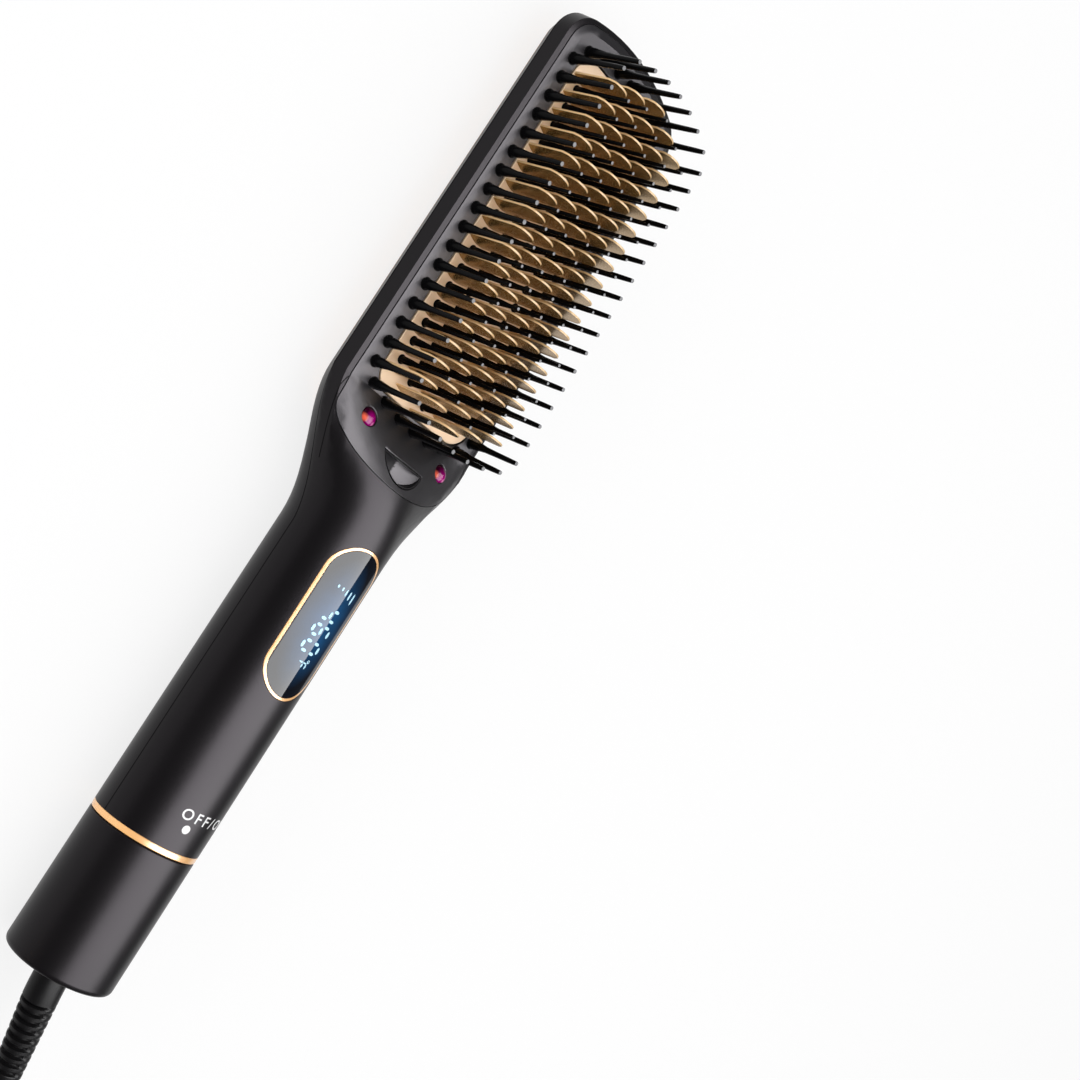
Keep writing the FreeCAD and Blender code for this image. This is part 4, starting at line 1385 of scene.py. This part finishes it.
class BRUSH_OT_display(bpy.types.Operator):
    """Makes the display's window, its rim and its lit figures"""

    bl_idname = "brush.display"
    bl_label = "Display"

    # The glow behind the window: one over its reach along and across, and its distance from the middle
    glow_rate = (50.0, 115.0)
    glow_y = 0.0006
    ink_lift = 0.00006
    ink_thickness = 0.00004
    # Places along X are from the display's middle.
    # Three figures in a row towards the tail, each by the strokes that are lit
    figures_lit = ("fgbc", "afgecd", "abcdef")
    figure_x = 0.00295
    figure_pitch = 0.00496
    # Each stroke of a figure: its place from the figure's middle, and whether it runs along X
    strokes = {
        "a": (0.0, -0.00278, True),
        "g": (0.0, 0.00036, True),
        "d": (0.0, 0.00312, True),
        "f": (0.00147, -0.00112, False),
        "b": (-0.00147, -0.00112, False),
        "e": (0.00147, 0.00186, False),
        "c": (-0.00147, 0.00186, False),
    }
    stroke_reach = {True: 0.00105, False: 0.00088}
    stroke_half = 0.00043
    # A stroke's width falls to nothing past this share of its reach, this steeply
    taper_end = 1.02
    taper_rate = 2.6
    # The rising bars: where they all start, half the length of each, and their places across
    bars_x = 0.01115
    bar_reaches = (0.0005, 0.0006, 0.0010, 0.0013, 0.0017)
    bar_y = 0.0033
    bar_pitch = 0.00168
    bar_half = 0.00028
    # The letter F and the degree mark: centre, half length, half width, and whether it runs along X
    unit_marks = (
        ((-0.01215, -0.00185), 0.0007, 0.00022, True),
        ((-0.01225, -0.00045), 0.0006, 0.00022, True),
        ((-0.01135, -0.00110), 0.0007, 0.00022, False),
        ((-0.01135, 0.00040), 0.0007, 0.00022, False),
        ((-0.01060, -0.00170), 0.0003, 0.0001, True),
        ((-0.01060, -0.00240), 0.0003, 0.0001, True),
        ((-0.01025, -0.00205), 0.0003, 0.0001, False),
        ((-0.01095, -0.00205), 0.0003, 0.00022, False),
    )

    def execute(self, context):
        glass = self.window()
        slot = "lens_glossy_black"
        dressed_copy("display_lens", "display_window", glass, slot, edge=0.00015, crease=40.0)
        dressed_copy("display_trim", "display_rim", polished_trim(), "trim_gold", edge=0.0002)
        self.figures()
        return {"FINISHED"}

    def window(self):
        """Glossy black over a blue glow that fades out from the figures."""
        material, tree, principled = new_material("display_glass")
        place = tree.nodes.new("ShaderNodeTexCoord")
        shift = add(tree, "ShaderNodeMapping")
        along, across = self.glow_rate
        shift.inputs["Location"].default_value = (-DISPLAY_X * along, -self.glow_y * across, 0.0)
        shift.inputs["Scale"].default_value = (along, across, 0.0)
        join(tree, place, "Object", shift, "Vector")
        ball = add(tree, "ShaderNodeTexGradient", gradient_type="SPHERICAL")
        join(tree, shift, "Vector", ball, "Vector")
        haze = add(tree, "ShaderNodeTexNoise", Scale=220.0, Detail=2.0)
        join(tree, place, "Object", haze, "Vector")
        uneven = math_node(tree, "ADD", haze.outputs[0], 0.6)
        soft = math_node(tree, "MULTIPLY", ball.outputs["Fac"], uneven)
        glow = add(tree, "ShaderNodeMix", data_type="RGBA")
        glow.inputs[6].default_value = (0.0, 0.0004, 0.002, 1.0)
        glow.inputs[7].default_value = (*colours().glow, 1.0)
        tree.links.new(soft, glow.inputs[0])
        join(tree, glow, 2, principled, "Emission Color")
        principled.inputs["Emission Strength"].default_value = 1.0
        principled.inputs["Base Color"].default_value = (0.004, 0.005, 0.008, 1.0)
        principled.inputs["Specular IOR Level"].default_value = 0.265
        principled.inputs["Roughness"].default_value = 0.05
        return material

    def bar(self, corners, faces, centre, reach, half_width, along_x):
        """One lit stroke with tapered ends, lying on the curved window."""
        steps = 8
        first = len(corners)
        radius = HANDLE_RADIUS + self.ink_lift
        for i in range(steps + 1):
            share = 2 * i / steps - 1
            half = half_width * min(1.0, self.taper_rate * (self.taper_end - abs(share)))
            for side in (-1, 1):
                run, cross = reach * share, half * side
                x = DISPLAY_X + centre[0] + (run if along_x else cross)
                y = centre[1] + (cross if along_x else run)
                corners.append((x, y, AXIS_Z + math.sqrt(radius**2 - y * y)))
        for i in range(steps):
            a = first + 2 * i
            faces.append((a, a + 2, a + 3, a + 1) if along_x else (a, a + 1, a + 3, a + 2))

    def figures(self):
        """Three seven-stroke figures, a degree mark, the letter F and a rising row of bars."""
        corners, faces = [], []
        for place, lit in enumerate(self.figures_lit):
            middle = self.figure_x - self.figure_pitch * place
            for dx, y, along_x in (self.strokes[name] for name in lit):
                reach = self.stroke_reach[along_x]
                self.bar(corners, faces, (middle + dx, y), reach, self.stroke_half, along_x)
        for k, reach in enumerate(self.bar_reaches):
            centre = (self.bars_x - reach, self.bar_y - self.bar_pitch * k)
            self.bar(corners, faces, centre, reach, self.bar_half, True)
        for centre, reach, half_width, along_x in self.unit_marks:
            self.bar(corners, faces, centre, reach, half_width, along_x)
        made = new_object("lit_figures", mesh_from("lit_figures", corners, faces))
        wall = made.modifiers.new("wall", "SOLIDIFY")
        wall.thickness = self.ink_thickness
        wall.offset = 0.0
        material = plain_plastic("lit_digit", colours().digit, rough=0.4)
        light_up(material, 0.40)
        paint(made, material)
        fit(baked(made, "lit_figures"), "lens_glossy_black")


class BRUSH_OT_marks(bpy.types.Operator):
    """Prints the OFF and ON legend and its two dots beside the knob"""

    bl_idname = "brush.marks"
    bl_label = "Printed marks"

    print_lift = 0.00003
    letter_height = 0.0042
    letter_spacing = 1.36
    letter_weight = 0.00005
    # The legend's length round the handle, its foot's place along it, and its middle, in degrees from the top
    legend_length = 0.0197
    legend_x = RING_X + 0.0081
    legend_angle = -14.6
    # The letters are cut into slices this wide, this many to each side, so that they bend
    slice_width = 0.0005
    slices = 24
    dots_x = RING_X + 0.0066
    dot_radius = 0.0012
    dot_angles = (8.4, -45.0)

    def execute(self, context):
        made = self.legend()
        work = bmesh.new()
        work.from_mesh(made.data)
        for angle in self.dot_angles:
            self.dot(work, angle)
        work.to_mesh(made.data)
        work.free()
        paint(made, plain_plastic("white_print", colours().mark, rough=0.5))
        fit(made, "shell_satin_black")
        return {"FINISHED"}

    def legend(self):
        """The lettering, made a flat mesh, cut fine and wrapped round the handle."""
        words = bpy.data.curves.new("legend", "FONT")
        words.body = "OFF/ON"
        words.size = self.letter_height
        words.align_x = "CENTER"
        words.align_y = "BOTTOM"
        words.resolution_u = 4
        words.offset = self.letter_weight
        words.space_character = self.letter_spacing
        made = baked(new_object("legend_work", words), "printed_legend")
        stretch = self.legend_length / made.dimensions.x
        work = bmesh.new()
        work.from_mesh(made.data)
        bmesh.ops.scale(work, vec=(stretch, 1.0, 1.0), verts=work.verts)
        for k in range(-self.slices, self.slices + 1):
            bmesh.ops.bisect_plane(
                work,
                geom=work.verts[:] + work.edges[:] + work.faces[:],
                plane_co=(k * self.slice_width, 0, 0),
                plane_no=(1, 0, 0),
            )
        for vert in work.verts:
            angle = self.legend_angle - math.degrees(vert.co.x / HANDLE_RADIUS)
            vert.co = self.on_handle(self.legend_x + vert.co.y, angle)
        work.to_mesh(made.data)
        work.free()
        return made

    def on_handle(self, x, angle):
        """A point just off the handle; the angle is from straight up towards +Y, in degrees."""
        radius = HANDLE_RADIUS + self.print_lift
        turn = math.radians(angle)
        return Vector((x, radius * math.sin(turn), AXIS_Z + radius * math.cos(turn)))

    def dot(self, work, angle):
        """A round dot printed on the handle, at an angle from straight up."""
        sides = 24
        ring = []
        for k in range(sides):
            turn = 2 * math.pi * k / sides
            across = math.degrees(self.dot_radius * math.sin(turn) / HANDLE_RADIUS)
            x = self.dots_x + self.dot_radius * math.cos(turn)
            ring.append(work.verts.new(self.on_handle(x, angle + across)))
        hub = work.verts.new(self.on_handle(self.dots_x, angle))
        for k in range(sides):
            work.faces.new((hub, ring[k], ring[(k + 1) % sides]))


class BRUSH_OT_tail(bpy.types.Operator):
    """Makes the gold ring and the rotary knob"""

    bl_idname = "brush.tail"
    bl_label = "Ring and knob"

    def execute(self, context):
        dressed_copy("collar_ring", "gold_ring", polished_trim(), "trim_gold", edge=0.0002)
        dressed_copy("tail_knob", "power_knob", satin_shell(), "shell_satin_black", body="knob")
        return {"FINISHED"}


class BRUSH_OT_insides(bpy.types.Operator):
    """Gives every piece inside the casing its own finish"""

    bl_idname = "brush.insides"
    bl_label = "Inner pieces"

    def execute(self, context):
        board = plain_plastic("circuit_board", (0.03, 0.20, 0.09), rough=0.4)
        black = plain_plastic("inner_black", (0.025, 0.025, 0.026), rough=0.5)
        steel = plain_metal("screw_steel", (0.55, 0.55, 0.57), rough=0.3)
        foil = plain_metal("element_foil", (0.80, 0.80, 0.78), rough=0.4)
        finishes = {
            "heater_frame": plain_plastic("insulator_brown", (0.16, 0.10, 0.06), rough=0.6),
            "heater_elements": foil,
            "pressure_plate": foil,
            "thermistor": plain_plastic("bead_glass", (0.50, 0.20, 0.10), rough=0.2),
            "thermal_fuse": steel,
            "head_screws": steel,
            "lamp_board": board,
            "ion_generator": black,
            "ion_lead": plain_plastic("lead_sleeve", (0.40, 0.04, 0.03), rough=0.5),
            "display_module": black,
            "display_standoffs": black,
            "control_board": board,
            "heater_wires": plain_plastic("wire_sleeve", (0.50, 0.05, 0.04), rough=0.5),
            "tail_tube": black,
            "switch_board": board,
            "switch_rotor": black,
            "switch_wiper": plain_metal("contact_brass", (0.80, 0.60, 0.30), rough=0.3),
        }
        for node, material in finishes.items():
            paint(NODES[node], material)
        return {"FINISHED"}


class BRUSH_PT_pieces(bpy.types.Panel):
    """Lists the pieces in the order in which they are made"""

    bl_idname = "BRUSH_PT_pieces"
    bl_label = "Heated brush"
    bl_space_type = "VIEW_3D"
    bl_region_type = "UI"
    bl_category = "Brush"

    def draw(self, context):
        for operator in OPERATORS:
            self.layout.operator(operator.bl_idname)
        for group in (sizes(), colours()):
            box = self.layout.box()
            for name in group.bl_rna.properties.keys():
                if name not in ("rna_type", "name"):
                    box.prop(group, name)


OPERATORS = (
    BRUSH_OT_stage,
    BRUSH_OT_cord,
    BRUSH_OT_boot,
    BRUSH_OT_plug,
    BRUSH_OT_casing,
    BRUSH_OT_back,
    BRUSH_OT_face,
    BRUSH_OT_heater,
    BRUSH_OT_bristles,
    BRUSH_OT_lamps,
    BRUSH_OT_outlet,
    BRUSH_OT_display,
    BRUSH_OT_marks,
    BRUSH_OT_tail,
    BRUSH_OT_insides,
)
CLASSES = (BrushSizes, BrushColours, *OPERATORS, BRUSH_PT_pieces)


def register():
    for item in CLASSES:
        bpy.utils.register_class(item)
    bpy.types.Scene.brush_sizes = bpy.props.PointerProperty(type=BrushSizes)
    bpy.types.Scene.brush_colours = bpy.props.PointerProperty(type=BrushColours)


def unregister():
    del bpy.types.Scene.brush_colours
    del bpy.types.Scene.brush_sizes
    for item in reversed(CLASSES):
        bpy.utils.unregister_class(item)


def main():
    register()
    for operator in OPERATORS:
        group, name = operator.bl_idname.split(".")
        getattr(getattr(bpy.ops, group), name)()


if __name__ == "__main__":
    main()
